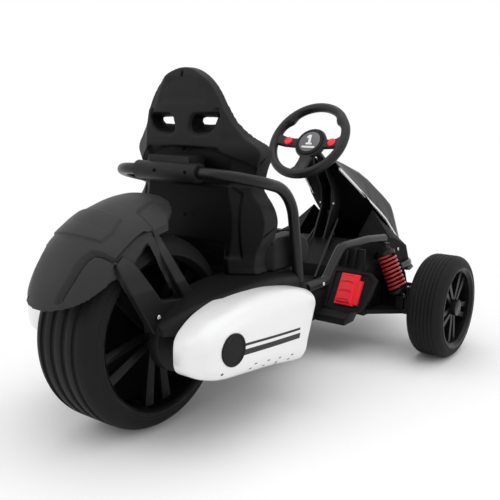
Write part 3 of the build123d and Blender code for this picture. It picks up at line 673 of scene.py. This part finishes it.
def buildSeat():
    look = seatLook
    seat = copyNode("seat_back", "mouldedSeatBack")
    # The lower back closes the CAD shell's harness windows before the funnels are cut
    for side in sides:
        outline = [(0, side * y, z) for y, z in look["plug"]]
        plug = prism(outline, *((look["back"] + depth, 0, 0) for depth in look["plugDepth"]))
        carve(seat, tool(*plug), "UNION")
    walls = []
    for side in sides:
        rings = []
        for share, x in look["funnelSteps"]:
            pairs = zip(look["funnelRear"], look["funnelFront"])
            ring = [(a * (1 - share) + c * share, b * (1 - share) + d * share) for (a, b), (c, d) in pairs]
            rings.append([(look["back"] + x, side * y, z) for y, z in ring])
        carve(seat, tool(*lofted(rings)))
        inner = []
        for ring in rings[2:6]:
            cy = sum(p[1] for p in ring) / len(ring)
            cz = sum(p[2] for p in ring) / len(ring)
            inner.append([(x, cy + (y - cy) * 0.95, cz + (z - cz) * 0.9) for x, y, z in ring])
        outer = [list(ring) for ring in rings[2:6]]
        walls.append(lofted(outer + inner[::-1] + outer[:1], capped=False))
    # The funnels' walls carry painted shade
    addPiece("harnessFunnels", *joined(walls), "chassis", "deepPlastic", (), 30)
    soften(seat, look["cell"], look["rounds"])
    fitWidth(seat, look["wings"], look["firm"])
    domeHead(seat)
    for name, depth, soft in look["pressed"]:
        press(seat, look[name], depth, soft)
    tree = skinTree(seat)
    slots = []
    for side in sides:
        for ax, az, bx, bz, width in look["dashes"]:
            low = (bx - width * 0.5, bz - width * 0.4), (ax + width * 0.3, az - width * 0.6)
            dash = ((ax, az), (bx, bz), *low)
            slots.append(patch(tree, dash, side, 0.5, 3, 8))
    # The slots are dark patches laid on the skin: painted shade
    addPiece("seatSlotShade", *joined(slots), "chassis", "deepPlastic")
    dress(seat, "chassis", "seatPlasticPaintedShade", ["seat_back"], 60)
    pan = copyNode("seat_pan", "mouldedSeatPan")
    soften(pan, look["lowCell"], look["rounds"])
    dress(pan, "chassis", "blackPlastic", ["seat_pan"], 60)
    base = copyNode("seat_base", "mouldedSeatBase")
    soften(base, look["lowCell"], look["rounds"])
    spots = readSkin(base)
    # The base stays below the seat's back and falls away towards its sides
    most = look["baseTop"] - np.maximum(np.abs(spots[:, 1]) - look["baseFlat"], 0) * look["baseFall"]
    behind = step(look["baseEnd"] - spots[:, 0], 20)
    spots[:, 2] -= np.maximum(spots[:, 2] - most, 0) * behind
    writeSkin(base, spots)
    dress(base, "chassis", "blackPlastic", ["seat_base"], 60)


buildSeat()
print("seat built")


guardLook = {
    "centre": (-20, 260),
    "half": 106,
    "cell": 2.2,
    "rounds": 6,
    "perDegree": 3.75,  # millimetres around the crown
    # lift of the crown at each angle, in degrees up from the front
    "crown": ((71, 15), (82, 12), (100, 1), (120, -4), (140, -2), (169, 0)),
    "stayReach": 224,
    # raised shield on the crown, as (degrees, y)
    "shield": ((109, -66), (109, 66), (119, 74), (127, 70), (128.5, 40))
    + ((129, 0), (128.5, -40), (127, -70), (119, -74)),
    "rise": 4,
    # sunk panel, its fold and the front scoop on the left side, mirrored on the right
    "panel": ((161, 46), (151.6, 55), (139.2, 61), (134.4, 68), (132.7, 82))
    + ((132.4, 106), (150, 118), (172, 112), (174, 60)),
    "panelDepth": 5,
    "fold": ((163, 43), (151.6, 55), (139.2, 61), (134.4, 68), (132.7, 82), (132.4, 104)),
    "foldDepth": 7.5,
    "foldHalf": 4.2,
    "scoop": ((98, 68), (90, 61), (82, 54), (69, 58), (69, 112), (97, 112)),
    "scoopDepth": 5,
    # sunk frame in the stay's upper part, as (x, z)
    "frame": ((-154, 421), (-111, 456), (-86, 440), (-12, 302), (-44, 305), (-118, 392), (-150, 412)),
    "frameDepth": 9,
    # the stays' tops lean in over the crown: from and to these heights, by so much
    "lean": (330, 450, 38),
    "leanAhead": 0.95,
    "leanDown": 0.24,
}


def buildGuard():
    look = guardLook
    cx, cz = look["centre"]
    half = look["half"]
    guard = copyNode("rear_fender", "mouldedGuard")
    soften(guard, look["cell"], look["rounds"])
    spots = readSkin(guard)
    reach = np.hypot(spots[:, 0] - cx, spots[:, 2] - cz)
    away = np.stack([(spots[:, 0] - cx) / reach, np.zeros(len(reach)), (spots[:, 2] - cz) / reach], 1)
    degrees = np.degrees(np.arctan2(spots[:, 2] - cz, spots[:, 0] - cx))
    around = degrees * look["perDegree"]
    aside = np.abs(spots[:, 1])
    crown = step(half + 3 - aside, 6)

    def onCrown(name):
        return [(a * look["perDegree"], y) for a, y in look[name]]

    # Soft steps pressed into the crown: shield, side panels with a fold, front scoops
    sink = look["rise"] * (1 - step(insideBy(around, spots[:, 1], onCrown("shield")), 3.5))
    sink += look["panelDepth"] * step(insideBy(around, aside, onCrown("panel")), 3)
    sink += look["foldDepth"] * step(look["foldHalf"] - nearLine(around, aside, onCrown("fold")), 3)
    sink += look["scoopDepth"] * step(insideBy(around, aside, onCrown("scoop")), 6)
    lift = follow(look["crown"], degrees)
    spots += away * ((lift * step(reach - 150, 30) - sink) * crown)[:, None]
    reach = np.hypot(spots[:, 0] - cx, spots[:, 2] - cz)
    over = np.maximum(reach - look["stayReach"], 0) * step(aside - half, 6)
    spots -= away * over[:, None]
    writeSkin(guard, spots)

    spots = readSkin(guard)
    aside = np.abs(spots[:, 1])
    dip = step(insideBy(spots[:, 0], spots[:, 2], look["frame"]), 3) * step(aside - half - 8, 8)
    spots[:, 1] -= np.sign(spots[:, 1]) * look["frameDepth"] * dip
    low, high, most = look["lean"]
    beside = step(np.abs(spots[:, 1]) - half - 3, 8)
    lean = most * np.clip((spots[:, 2] - low) / (high - low), 0, 1) * beside
    spots[:, 1] -= np.sign(spots[:, 1]) * lean
    spots[:, 0] += lean * look["leanAhead"]
    spots[:, 2] -= lean * look["leanDown"]
    writeSkin(guard, spots)
    dress(guard, "chassis", "greyPlastic", ["rear_fender"], 60)


buildGuard()
print("wheel guard built")


podLook = {
    # x, low, high, inner, outer, outer corner
    "columns": (
        (-96, 196, 232, 201, 236, 14),
        (-91, 184, 246, 198, 256, 26),
        (-74, 172, 263, 196, 274, 34),
        (-30, 158, 283, 192, 285, 40),
        (45, 147, 298, 190, 288, 46),
        (150, 133, 301, 188, 288, 48),
        (250, 118, 286, 182, 284, 38),
        (330, 108, 262, 176, 274, 42),
    ),
    # sections from one x to another, as (from, to, count)
    "tail": (-96, -74, 9),
    "run": (-68, 330, 34),
    "hollow": (-34, 350, 30),
    "wall": 4,
    "liner": 7,
    "linerShort": 24,
    "linerBack": 16,
    "frontEdge": ((243, 60), (240, 140), (250, 172), (280, 232), (297, 258))
    + ((300, 340), (420, 340), (420, 60)),
    "stripes": (
        # x and z at the rear end, at the front end, width
        (11, 229, 216, 209, 5),
        (8, 217, 216, 197, 11),
    ),
    "slots": ((55, 175), (100, 168), (143, 161), (189, 154), (43, 167), (91, 158), (138, 151), (184, 144)),
    "disc": (-17, 224),
    "discRings": ((33, -0.6), (33, 1.6), (31.5, 2.6), (29.5, 2.6), (27.5, 0.9))
    + ((18, 0.7), (8, 0.6), (0.2, 0.6)),
    "screws": ((147, 142), (-44, 181)),
}


def between(table, x):
    # A smooth curve through the table's rows
    rows = np.array(table, float)
    k = int(np.clip(np.searchsorted(rows[:, 0], x) - 1, 0, len(rows) - 2))
    a = rows[k]
    b = rows[k + 1]
    before = rows[max(k - 1, 0)]
    after = rows[min(k + 2, len(rows) - 1)]
    t = (x - a[0]) / (b[0] - a[0])
    m = (b - before) / (b[0] - before[0]) * (b[0] - a[0])
    n = (after - a) / (after[0] - a[0]) * (b[0] - a[0])
    ends = a * (2 * t**3 - 3 * t**2 + 1) + m * (t**3 - 2 * t**2 + t)
    return ends + b * (3 * t**2 - 2 * t**3) + n * (t**3 - t**2)


def podRing(row, inset):
    x, low, high, inner, outer, corner = row
    low += inset
    high -= inset
    outer -= inset
    inner -= 12 if inset else 0
    corner = min(corner - inset, (high - low) / 2 - 0.5, (outer - inner) * 0.7)
    ring = []
    for cy, cz, first, r in (
        (outer - corner, high - corner, 0, corner),
        (inner + 5, high - 5, 90, 5),
        (inner + 5, low + 5, 180, 5),
        (outer - corner, low + corner, 270, corner),
    ):
        count = 12 if r > 6 else 3
        for k in range(count + 1):
            a = radians(first + 90 * k / count)
            ring.append((x, cy + r * cos(a), cz + r * sin(a)))
    return ring


def podForm(inset, side, back=0):
    if inset:
        start, end, count = podLook["hollow"]
        places = np.linspace(start, end - back, count)
    else:
        places = np.concatenate((np.linspace(*podLook["tail"]), np.linspace(*podLook["run"])))
    rings = [podRing(between(podLook["columns"], x), inset) for x in places]
    rings = [[(x, side * y, z) for x, y, z in ring] for ring in rings]
    return lofted(rings)


def podDisc(tree, side):
    # A dished badge plate, laid on the pod's skin
    x, z = podLook["disc"]
    rings = []
    for radius, lift in podLook["discRings"]:
        turns = [2 * pi * k / 48 for k in range(48)]
        rings.append([onSkin(tree, x + radius * cos(a), z + radius * sin(a), side, lift) for a in turns])
    return lofted(rings)


def frontCut(side, back=0):
    edge = [(x - back, 0, z) for x, z in podLook["frontEdge"]]
    return tool(*prism(edge, (0, side * 60, 0), (0, side * 340, 0)))


def buildPods():
    look = podLook
    for side in sides:
        # One piece stands for both solids of each node
        name = "Left" if side > 0 else "Right"
        podNode = ["side_pods"] if side > 0 else ()
        discNode = ["pod_discs"] if side > 0 else ()
        pod = tool(*podForm(0, side))
        tree = skinTree(pod)
        carve(pod, frontCut(side))
        carve(pod, tool(*podForm(look["wall"], side)))
        pod.name = "glossPod" + name
        dress(pod, "chassis", "whitePlastic", podNode, 40)
        # The pod's hollow gets a dark liner of painted shade
        liner = tool(*podForm(look["liner"], side, look["linerShort"]))
        carve(liner, frontCut(side, look["linerBack"]))
        liner.name = "podLiner" + name
        dress(liner, "chassis", "deepPlastic", (), 40)
        addPiece("podDisc" + name, *podDisc(tree, side), "chassis", "blackPlastic", discNode, 30)
        ink = []
        for ax, az, bx, bz, width in look["stripes"]:
            corners = ((ax, az), (bx, bz), (bx - width * 0.3, bz - width), (ax - width * 0.3, az - width))
            ink.append(patch(tree, corners, side, 0.35))
        for sx, sz in look["slots"]:
            corners = ((sx - 3, sz + 1.6), (sx + 4, sz + 0.8), (sx + 3, sz - 1.8), (sx - 4, sz - 1))
            ink.append(patch(tree, corners, side, 0.3, 2, 4))
        for sx, sz in look["screws"]:
            corners = ((sx - 3, sz + 1), (sx + 1, sz + 3), (sx + 3, sz - 1), (sx - 1, sz - 3))
            ink.append(patch(tree, corners, side, 0.5, 2, 2))
        addPiece("podInk" + name, *joined(ink), "chassis", "blackInk")


buildPods()
print("pods built")


flankLook = {
    # x, height, outer side
    "sections": ((-68, 258, 150), (-45, 272, 172), (0, 290, 198), (50, 304, 214))
    + ((120, 311, 220), (230, 311, 222), (310, 304, 218), (352, 292, 206)),
    "shoulder": (26, 22),
    "inner": 96,
    "low": 236,
}
frontX, frontY, frontZ = frontTyre["centre"]
# Dark discs in each wheel's middle plane stand for the rim's far spokes and the shade inside it, partly
# painted shade
webShadeLook = (
    # name, body, centre, inner and outer radius, half thickness
    ("rearWheelWebShade", "rear_wheel", rearTyre["centre"], 22, 156, 5),
    ("frontWheelWebShadeRight", "front_wheel_r", (frontX, -frontY, frontZ), 16, 97, 4),
    ("frontWheelWebShadeLeft", "front_wheel_l", frontTyre["centre"], 16, 97, 4),
)
linerLook = {
    # x and z on the fairing's open side, top to bottom
    "slope": ((768, 500), (812, 462), (862, 418), (905, 378), (948, 338), (1000, 288), (1034, 256)),
    "half": (40, 74, 98, 104, 106, 106, 106),
    "thick": 5,
    "innerSkirt": ((812, 304), (896, 372), (946, 338), (1026, 270), (1050, 184), (806, 184)),
    "outerSkirt": ((806, 290), (866, 298), (905, 289), (985, 256), (1020, 184), (806, 176)),
    "inner": 104,
    "outer": 180,
    # dark plate ahead of each spring, painted shade that shows between the coils, as (y, z), and its two
    # faces
    "shadePlate": ((150, 100), (254, 100), (260, 112), (260, 160), (250, 208))
    + ((222, 256), (204, 268), (150, 268)),
    "shadePlateFaces": (826, 832),
}


def buildFlanks():
    look = flankLook
    wide, tall = look["shoulder"]
    parts = []
    for side in sides:
        rings = []
        for x, high, outer in look["sections"]:
            ring = [(x, side * look["inner"], look["low"]), (x, side * look["inner"], high)]
            for k in range(9):
                a = radians(90 - 90 * k / 8)
                ring.append((x, side * (outer - wide + wide * cos(a)), high - tall + tall * sin(a)))
            ring.append((x, side * outer, look["low"]))
            rings.append(ring)
        parts.append(lofted(rings))
    addPiece("baseFlanks", *joined(parts), "chassis", "blackPlastic", (), 40)


def buildWebShades():
    for name, body, centre, inner, outer, half in webShadeLook:
        profile = [(inner, -half - 3), (inner, half + 3), (inner + 18, half + 3), (inner + 24, half)]
        profile += [(outer - 16, half), (outer, half + 4), (outer, -half - 4), (outer - 16, -half)]
        profile += [(inner + 24, -half), (inner + 18, -half - 3)]
        points, faces = turned(profile, centre, 72)
        addPiece(name, points, faces, body, "deepPlastic", (), 30)


def buildLiner():
    look = linerLook
    rings = []
    for (x, z), half in zip(look["slope"], look["half"]):
        thick = look["thick"]
        under = (x + thick, half, z - thick), (x + thick, -half, z - thick)
        rings.append([(x, -half, z), (x, half, z), *under])
    parts = [lofted(rings)]
    for side in sides:
        inner = [(x, side * look["inner"], z) for x, z in look["innerSkirt"]]
        outer = [(x, side * look["outer"], z) for x, z in look["outerSkirt"]]
        parts.append(lofted([inner, outer]))
        # Painted shade: a dark plate behind each spring fills the gaps between its coils
        plate = [(0, side * y, z) for y, z in look["shadePlate"]]
        near, far = look["shadePlateFaces"]
        parts.append(prism(plate, (near, 0, 0), (far, 0, 0)))
    addPiece("frontLiner", *joined(parts), "chassis", "deepPlastic", (), 30)


buildFlanks()
buildWebShades()
buildLiner()
print("flanks, webs and liner built")


wheelLook = {
    "centre": (690, 0, 586),
    "tilt": 36.9,
    "ring": 114,
    "grip": 14.2,
    "steps": 96,
    # thumb rests: where, in degrees, how wide, how much thicker and how far in
    "thumbs": (-38, -142),
    "thumbSpan": 9,
    "thumbSwell": 0.2,
    "thumbIn": 4,
    "face": -11,
    # direction in degrees, half width, how much it flares into the ring
    "spokes": ((0, 15, 4), (180, 15, 4), (90, 19, 8)),
    "spokeEdge": 4,
    # radius and height over the face
    "hub": ((0.1, -20), (34, -20), (43, -18), (48, -12), (49, -4))
    + ((46.5, 0), (43.5, 0.6), (43, -2), (0.1, -2)),
    "cap": ((0.1, -1), (42, -1), (42, 2.2), (40.5, 3.6), (36, 4.2), (0.1, 4.6)),
    "plate": ((0.1, 4), (33, 4), (33, 5), (32, 5.4), (0.1, 5.6)),
    "knob": ((0.1, 0), (13, 0), (13, 5), (11.5, 7), (6, 8), (0.1, 8.2)),
    "knobSide": 73,
    # the number and the bar under it, as (u, v), leaning, between two heights over the face
    "one": ((-3, -24), (5, -24), (5, 3), (10, 3), (10, 9), (-10, 9))
    + ((-10, 3), (-3, 3), (-3, -14), (-9, -12), (-9, -18)),
    "bar": ((-21, 14), (21, 14), (21, 20), (-21, 20)),
    "slant": 0.16,
    "inkHeights": (5, 6.4),
}


def onWheel(u, v, w):
    # u to the left, v down across the wheel's face, w out of it towards the seat
    c = cos(radians(wheelLook["tilt"]))
    s = sin(radians(wheelLook["tilt"]))
    x, y, z = wheelLook["centre"]
    return (x - s * v - c * w, y + u, z - c * v + s * w)


def discAt(profile, steps, u=0):
    # A turned shape on the wheel's face, from (radius, height over the face) pairs
    angles = [2 * pi * k / steps for k in range(steps)]
    rings = []
    for r, w in profile:
        rings.append([onWheel(u + r * cos(a), r * sin(a), wheelLook["face"] + w) for a in angles])
    return lofted(rings)


def gripRings():
    look = wheelLook
    rings = []
    for k in range(look["steps"]):
        turn = 360 * k / look["steps"]
        bulge = 0
        for thumb in look["thumbs"]:
            gap = (turn - thumb + 180) % 360 - 180
            bulge += np.exp(-((gap / look["thumbSpan"]) ** 2))
        a = radians(turn)
        ring = []
        for j in range(16):
            b = 2 * pi * j / 16
            r = look["grip"] * (1 + look["thumbSwell"] * bulge)
            thin = 0.96 - 0.12 * max(0, -cos(b)) * (1 - bulge)  # flatter on the inside
            out = look["ring"] - 1.2 - look["thumbIn"] * bulge + r * cos(b) * thin
            ring.append(onWheel(out * cos(a), out * sin(a), r * 0.97 * sin(b)))
        rings.append(ring)
    rings.append(rings[0])
    return rings


def spokeForm(turn, width, flare):
    a = radians(turn)
    edge = wheelLook["spokeEdge"]
    stations = (
        # out from the centre, half width, lowest and highest over the face
        (30, width, -15, -1),
        (60, width - 1, -13, 0),
        (84, width, -9, 5),
        (101, width + flare * 0.5, 2, 16),
        (110, width + flare, 5, 17),
    )
    bars = []
    for out, half, low, high in stations:
        left = half - edge
        top = high - edge
        foot = low + edge
        bar = []
        for cu, cw, first in ((left, top, 0), (-left, top, 90), (-left, foot, 180), (left, foot, 270)):
            for k in range(4):
                b = radians(first + 30 * k)
                p = cu + edge * cos(b)
                w = wheelLook["face"] + cw + edge * sin(b)
                bar.append(onWheel(out * cos(a) - p * sin(a), out * sin(a) + p * cos(a), w))
        bars.append(bar)
    return lofted(bars)


def buildWheel():
    look = wheelLook
    parts = [lofted(gripRings(), capped=False)]
    parts += [spokeForm(*spoke) for spoke in look["spokes"]]
    parts.append(discAt(look["hub"], 48))
    addPiece("grippedWheel", *joined(parts), "steering", "satinPlastic", ["steering_wheel"], 40)
    addPiece("hubFace", *discAt(look["cap"], 48), "steering", "blackPlastic", ["hub_cap"], 30)
    addPiece("numberPlate", *discAt(look["plate"], 48), "steering", "silverPlastic", (), 30)
    ink = []
    for shape in (look["one"], look["bar"]):
        rings = []
        for w in look["inkHeights"]:
            rings.append([onWheel(-u - v * look["slant"], v + 2, look["face"] + w) for u, v in shape])
        ink.append(lofted(rings))
    addPiece("raceNumber", *joined(ink), "steering", "paleInk")
    buttons = [discAt(look["knob"], 28, side * look["knobSide"]) for side in sides]
    addPiece("hornKnobs", *joined(buttons), "steering", "redPlastic", ["horn_buttons"], 30)


buildWheel()
print("steering wheel built")


legLook = {
    "top": (785, 200, 284),
    "low": (790, 258, 148),
    "coils": 8.5,
    "radius": 23.5,
    "wire": 3.7,
    "shelf": 22,
    # along the leg, radius
    "cap": ((-4, 13), (-3, 15), (6, 16), (8, 21), (19, 23), (21, 27), (23.5, 27), (24, 25)),
}


def buildSprings():
    look = legLook
    coils = []
    caps = []
    for side in sides:
        top = Vector(look["top"])
        low = Vector(look["low"])
        top.y *= side
        low.y *= side
        axis = (low - top).normalized()
        length = (low - top).length - 2 * look["shelf"] - 2 * look["wire"]
        across = axis.orthogonal().normalized()
        up = axis.cross(across)
        start = top + axis * (look["shelf"] + look["wire"])
        path = []
        steps = int(26 * look["coils"])
        for k in range(steps + 1):
            a = 2 * pi * look["coils"] * k / steps
            along = length * k / steps
            out = across * look["radius"] * cos(a) + up * look["radius"] * sin(a)
            path.append(tuple(start + axis * along + out))
        coils.append(sweepTube(path, look["wire"], 10))
        places = [top + axis * t for t, r in look["cap"]]
        caps.append(sweepTube(places, [r for t, r in look["cap"]], 28))
    addPiece("wireSprings", *joined(coils), "chassis", "redPaint", ["shock_springs"])
    addPiece("springCaps", *joined(caps), "chassis", "blackPlastic")


pedalLook = {
    "origin": (625, 0, 143),
    "lean": (0.862, -0.5075),
    # from and to across the rest, up it and out of it, then taper
    "plate": (-192, -133, 0, 92, -3.4, 3.5, 1),
    "pad": (-186, -139, 5, 87, 3, 9.5, 3),
    "tab": (-205, -190, 4, 76, -3, 4, 2),
    # arched treads: from and to across the rest, the first one's foot, pitch and arch
    "treads": (-182, -143, 9, 26, 3.5),
    "treadSection": ((0, 9), (20, 9), (18, 11.6), (3, 11.9)),
}


def onRest(y, v, w):
    # v up the foot rest, w out of it towards the seat
    nx, nz = pedalLook["lean"]
    x, _, z = pedalLook["origin"]
    return (x - nz * v - nx * w, y, z + nx * v - nz * w)


def slab(y0, y1, v0, v1, w0, w1, draft=1.5):
    low = [onRest(y0, v0, w0), onRest(y1, v0, w0), onRest(y1, v1, w0), onRest(y0, v1, w0)]
    high = [(y0 + draft, v0 + draft), (y1 - draft, v0 + draft)]
    high += [(y1 - draft, v1 - draft), (y0 + draft, v1 - draft)]
    return lofted([low, [onRest(y, v, w1) for y, v in high]])


def buildPedal():
    look = pedalLook
    parts = [slab(*look["plate"]), slab(*look["pad"])]
    start, end, first, pitch, arch = look["treads"]
    for k in range(3):
        rings = []
        for i in range(9):
            y = start + (end - start) * i / 8
            v = first + k * pitch + arch * (1 - ((i - 4) / 4) ** 2)
            rings.append([onRest(y, v + up, out) for up, out in look["treadSection"]])
        parts.append(lofted(rings))
    parts.append(slab(*look["tab"]))
    piece = addPiece("treadPedal", *joined(parts), "chassis", "redPlastic", ["accelerator_pedal"], 30)
    roundEdges(piece, 0.7, 30, weld=False)


buildSprings()
buildPedal()
print("springs and pedal built")


boltLook = {
    # x, y, z, head radius, head height
    "side": (  # on both sides of the kart
        (-62, 132, 272, 5, 3),
        (802, 21, 394, 4, 3),
        (924, 180, 254, 5, 3),
        (435, 212, 250, 4.5, 3),
    ),
    "rear": (
        (94, 24, 543, 4.5, 2.5),
        (94, -67, 543, 4.5, 2.5),
        (162, -3, 439, 5, 2.5),
        (170, 3, 588, 4.5, 6),
    ),
}


def panHead(x, y, z, axis, outward, radius, height):
    # A round head with a socket
    profile = [(radius, 0), (radius, height * 0.55), (radius * 0.86, height * 0.85), (radius * 0.6, height)]
    profile += [(radius * 0.45, height), (radius * 0.42, height * 0.4), (0.05, height * 0.4)]
    rings = []
    for r, h in profile:
        ring = []
        for k in range(16):
            a = 2 * pi * k / 16
            out = [0, 0, 0]
            out[axis] = outward * h
            out[(axis + 1) % 3] = r * cos(a)
            out[(axis + 2) % 3] = r * sin(a)
            ring.append((x + out[0], y + out[1], z + out[2]))
        rings.append(ring)
    return lofted(rings)


def buildBolts():
    zinc = [panHead(x, side * y, z, 1, side, r, h) for x, y, z, r, h in boltLook["side"] for side in sides]
    addPiece("boltsZincBolt", *joined(zinc), "chassis", "zincBolt", (), 30)
    dark = [panHead(x, y, z, 0, -1, r, h) for x, y, z, r, h in boltLook["rear"]]
    # The rear bolts take the black plastic darkened as painted shade
    addPiece("boltsInPaintedShade", *joined(dark), "chassis", "deepPlastic", (), 30)


buildBolts()
print("bolts built")


studio = {
    "floorColour": (0.97, 0.97, 0.97),
    "floorRadius": 12.0,
    "shadowReach": 0.75,
    "whiteReach": 1.5,
    "worldStrength": 0.78,
    "lampAim": (0, 0, 0.3),
    "lens": 50.02,
    "sensor": 36,
    "cameraPlace": (-1007.3, -1069.8, 682.0),
    "cameraYaw": 36.98,
    "cameraDrop": 11.73,
}


def buildFloor():
    mesh = bpy.data.meshes.new("studioFloor")
    work = bmesh.new()
    bmesh.ops.create_circle(work, cap_ends=True, segments=96, radius=studio["floorRadius"])
    work.to_mesh(mesh)
    work.free()
    floor = bpy.data.objects.new("studioFloor", mesh)
    bpy.context.scene.collection.objects.link(floor)
    floor.location = (0, 0, -0.0005)
    mat = bpy.data.materials.new("studioFloor")
    mat.use_nodes = True
    tree = mat.node_tree
    shader = tree.nodes["Principled BSDF"]
    shader.inputs["Base Color"].default_value = (*studio["floorColour"], 1)
    shader.inputs["Roughness"].default_value = 0.9
    shader.inputs["Specular IOR Level"].default_value = 0.1
    # Away from the kart the camera sees plain white, near it the floor with its shadow
    glow = addNode(tree, "ShaderNodeEmission", (0, -300), Color=(1, 1, 1, 1), Strength=1.0)
    place = addNode(tree, "ShaderNodeTexCoord", (-900, 200))
    reach = addNode(tree, "ShaderNodeVectorMath", (-700, 200))
    reach.operation = "LENGTH"
    tree.links.new(place.outputs["Object"], reach.inputs[0])
    fade = rampNode(tree, (-500, 200), reach.outputs["Value"], (studio["shadowReach"], studio["whiteReach"]))
    fade.interpolation_type = "SMOOTHSTEP"
    path = addNode(tree, "ShaderNodeLightPath", (-700, -200))
    rays = path.outputs["Is Camera Ray"], path.outputs["Is Glossy Ray"]
    seen = mathNode(tree, "MAXIMUM", (-500, -200), *rays)
    share = mathNode(tree, "MULTIPLY", (-300, 0), fade.outputs["Result"], seen)
    shaderMix(tree, share, shader, glow, "Material Output")
    mesh.materials.append(mat)


def buildWorld():
    world = bpy.data.worlds.new("studio")
    bpy.context.scene.world = world
    world.use_nodes = True
    tree = world.node_tree
    light = tree.nodes["Background"]
    light.inputs["Color"].default_value = (1, 1, 1, 1)
    light.inputs["Strength"].default_value = studio["worldStrength"]
    shown = addNode(tree, "ShaderNodeBackground", (-200, -200), Color=(1, 1, 1, 1), Strength=1.0)
    path = addNode(tree, "ShaderNodeLightPath", (-700, 0))
    seen = mathNode(tree, "MAXIMUM", (-500, 0), path.outputs["Is Camera Ray"], path.outputs["Is Glossy Ray"])
    seen = mathNode(tree, "MAXIMUM", (-300, 0), seen, path.outputs["Is Transmission Ray"])
    shaderMix(tree, seen, light, shown, "World Output")


lamps = (
    # name, place, size, power
    ("skyPanel", (0.1, -0.3, 3.2), 3.6, 36),
    ("leftPanel", (-2.6, 1.6, 2.2), 2.2, 16),
    ("rightPanel", (1.2, -3.0, 1.8), 2.0, 12),
)


def buildLamps():
    for name, place, size, power in lamps:
        data = bpy.data.lights.new(name, "AREA")
        data.size = size
        data.energy = power
        lamp = bpy.data.objects.new(name, data)
        lamp.location = place
        aim = Vector(studio["lampAim"]) - lamp.location
        lamp.rotation_euler = aim.to_track_quat("-Z", "Y").to_euler()
        bpy.context.scene.collection.objects.link(lamp)


def buildCamera():
    data = bpy.data.cameras.new("studioCamera")
    data.lens = studio["lens"]
    data.sensor_width = studio["sensor"]
    camera = bpy.data.objects.new("studioCamera", data)
    camera.location = spot(*studio["cameraPlace"])
    yaw = radians(studio["cameraYaw"])
    drop = radians(studio["cameraDrop"])
    ahead = Vector((cos(drop) * cos(yaw), cos(drop) * sin(yaw), -sin(drop)))
    camera.rotation_euler = ahead.to_track_quat("-Z", "Y").to_euler()
    bpy.context.scene.collection.objects.link(camera)
    bpy.context.scene.camera = camera


buildFloor()
buildWorld()
buildLamps()
buildCamera()
bpy.context.scene.view_settings.view_transform = "Standard"
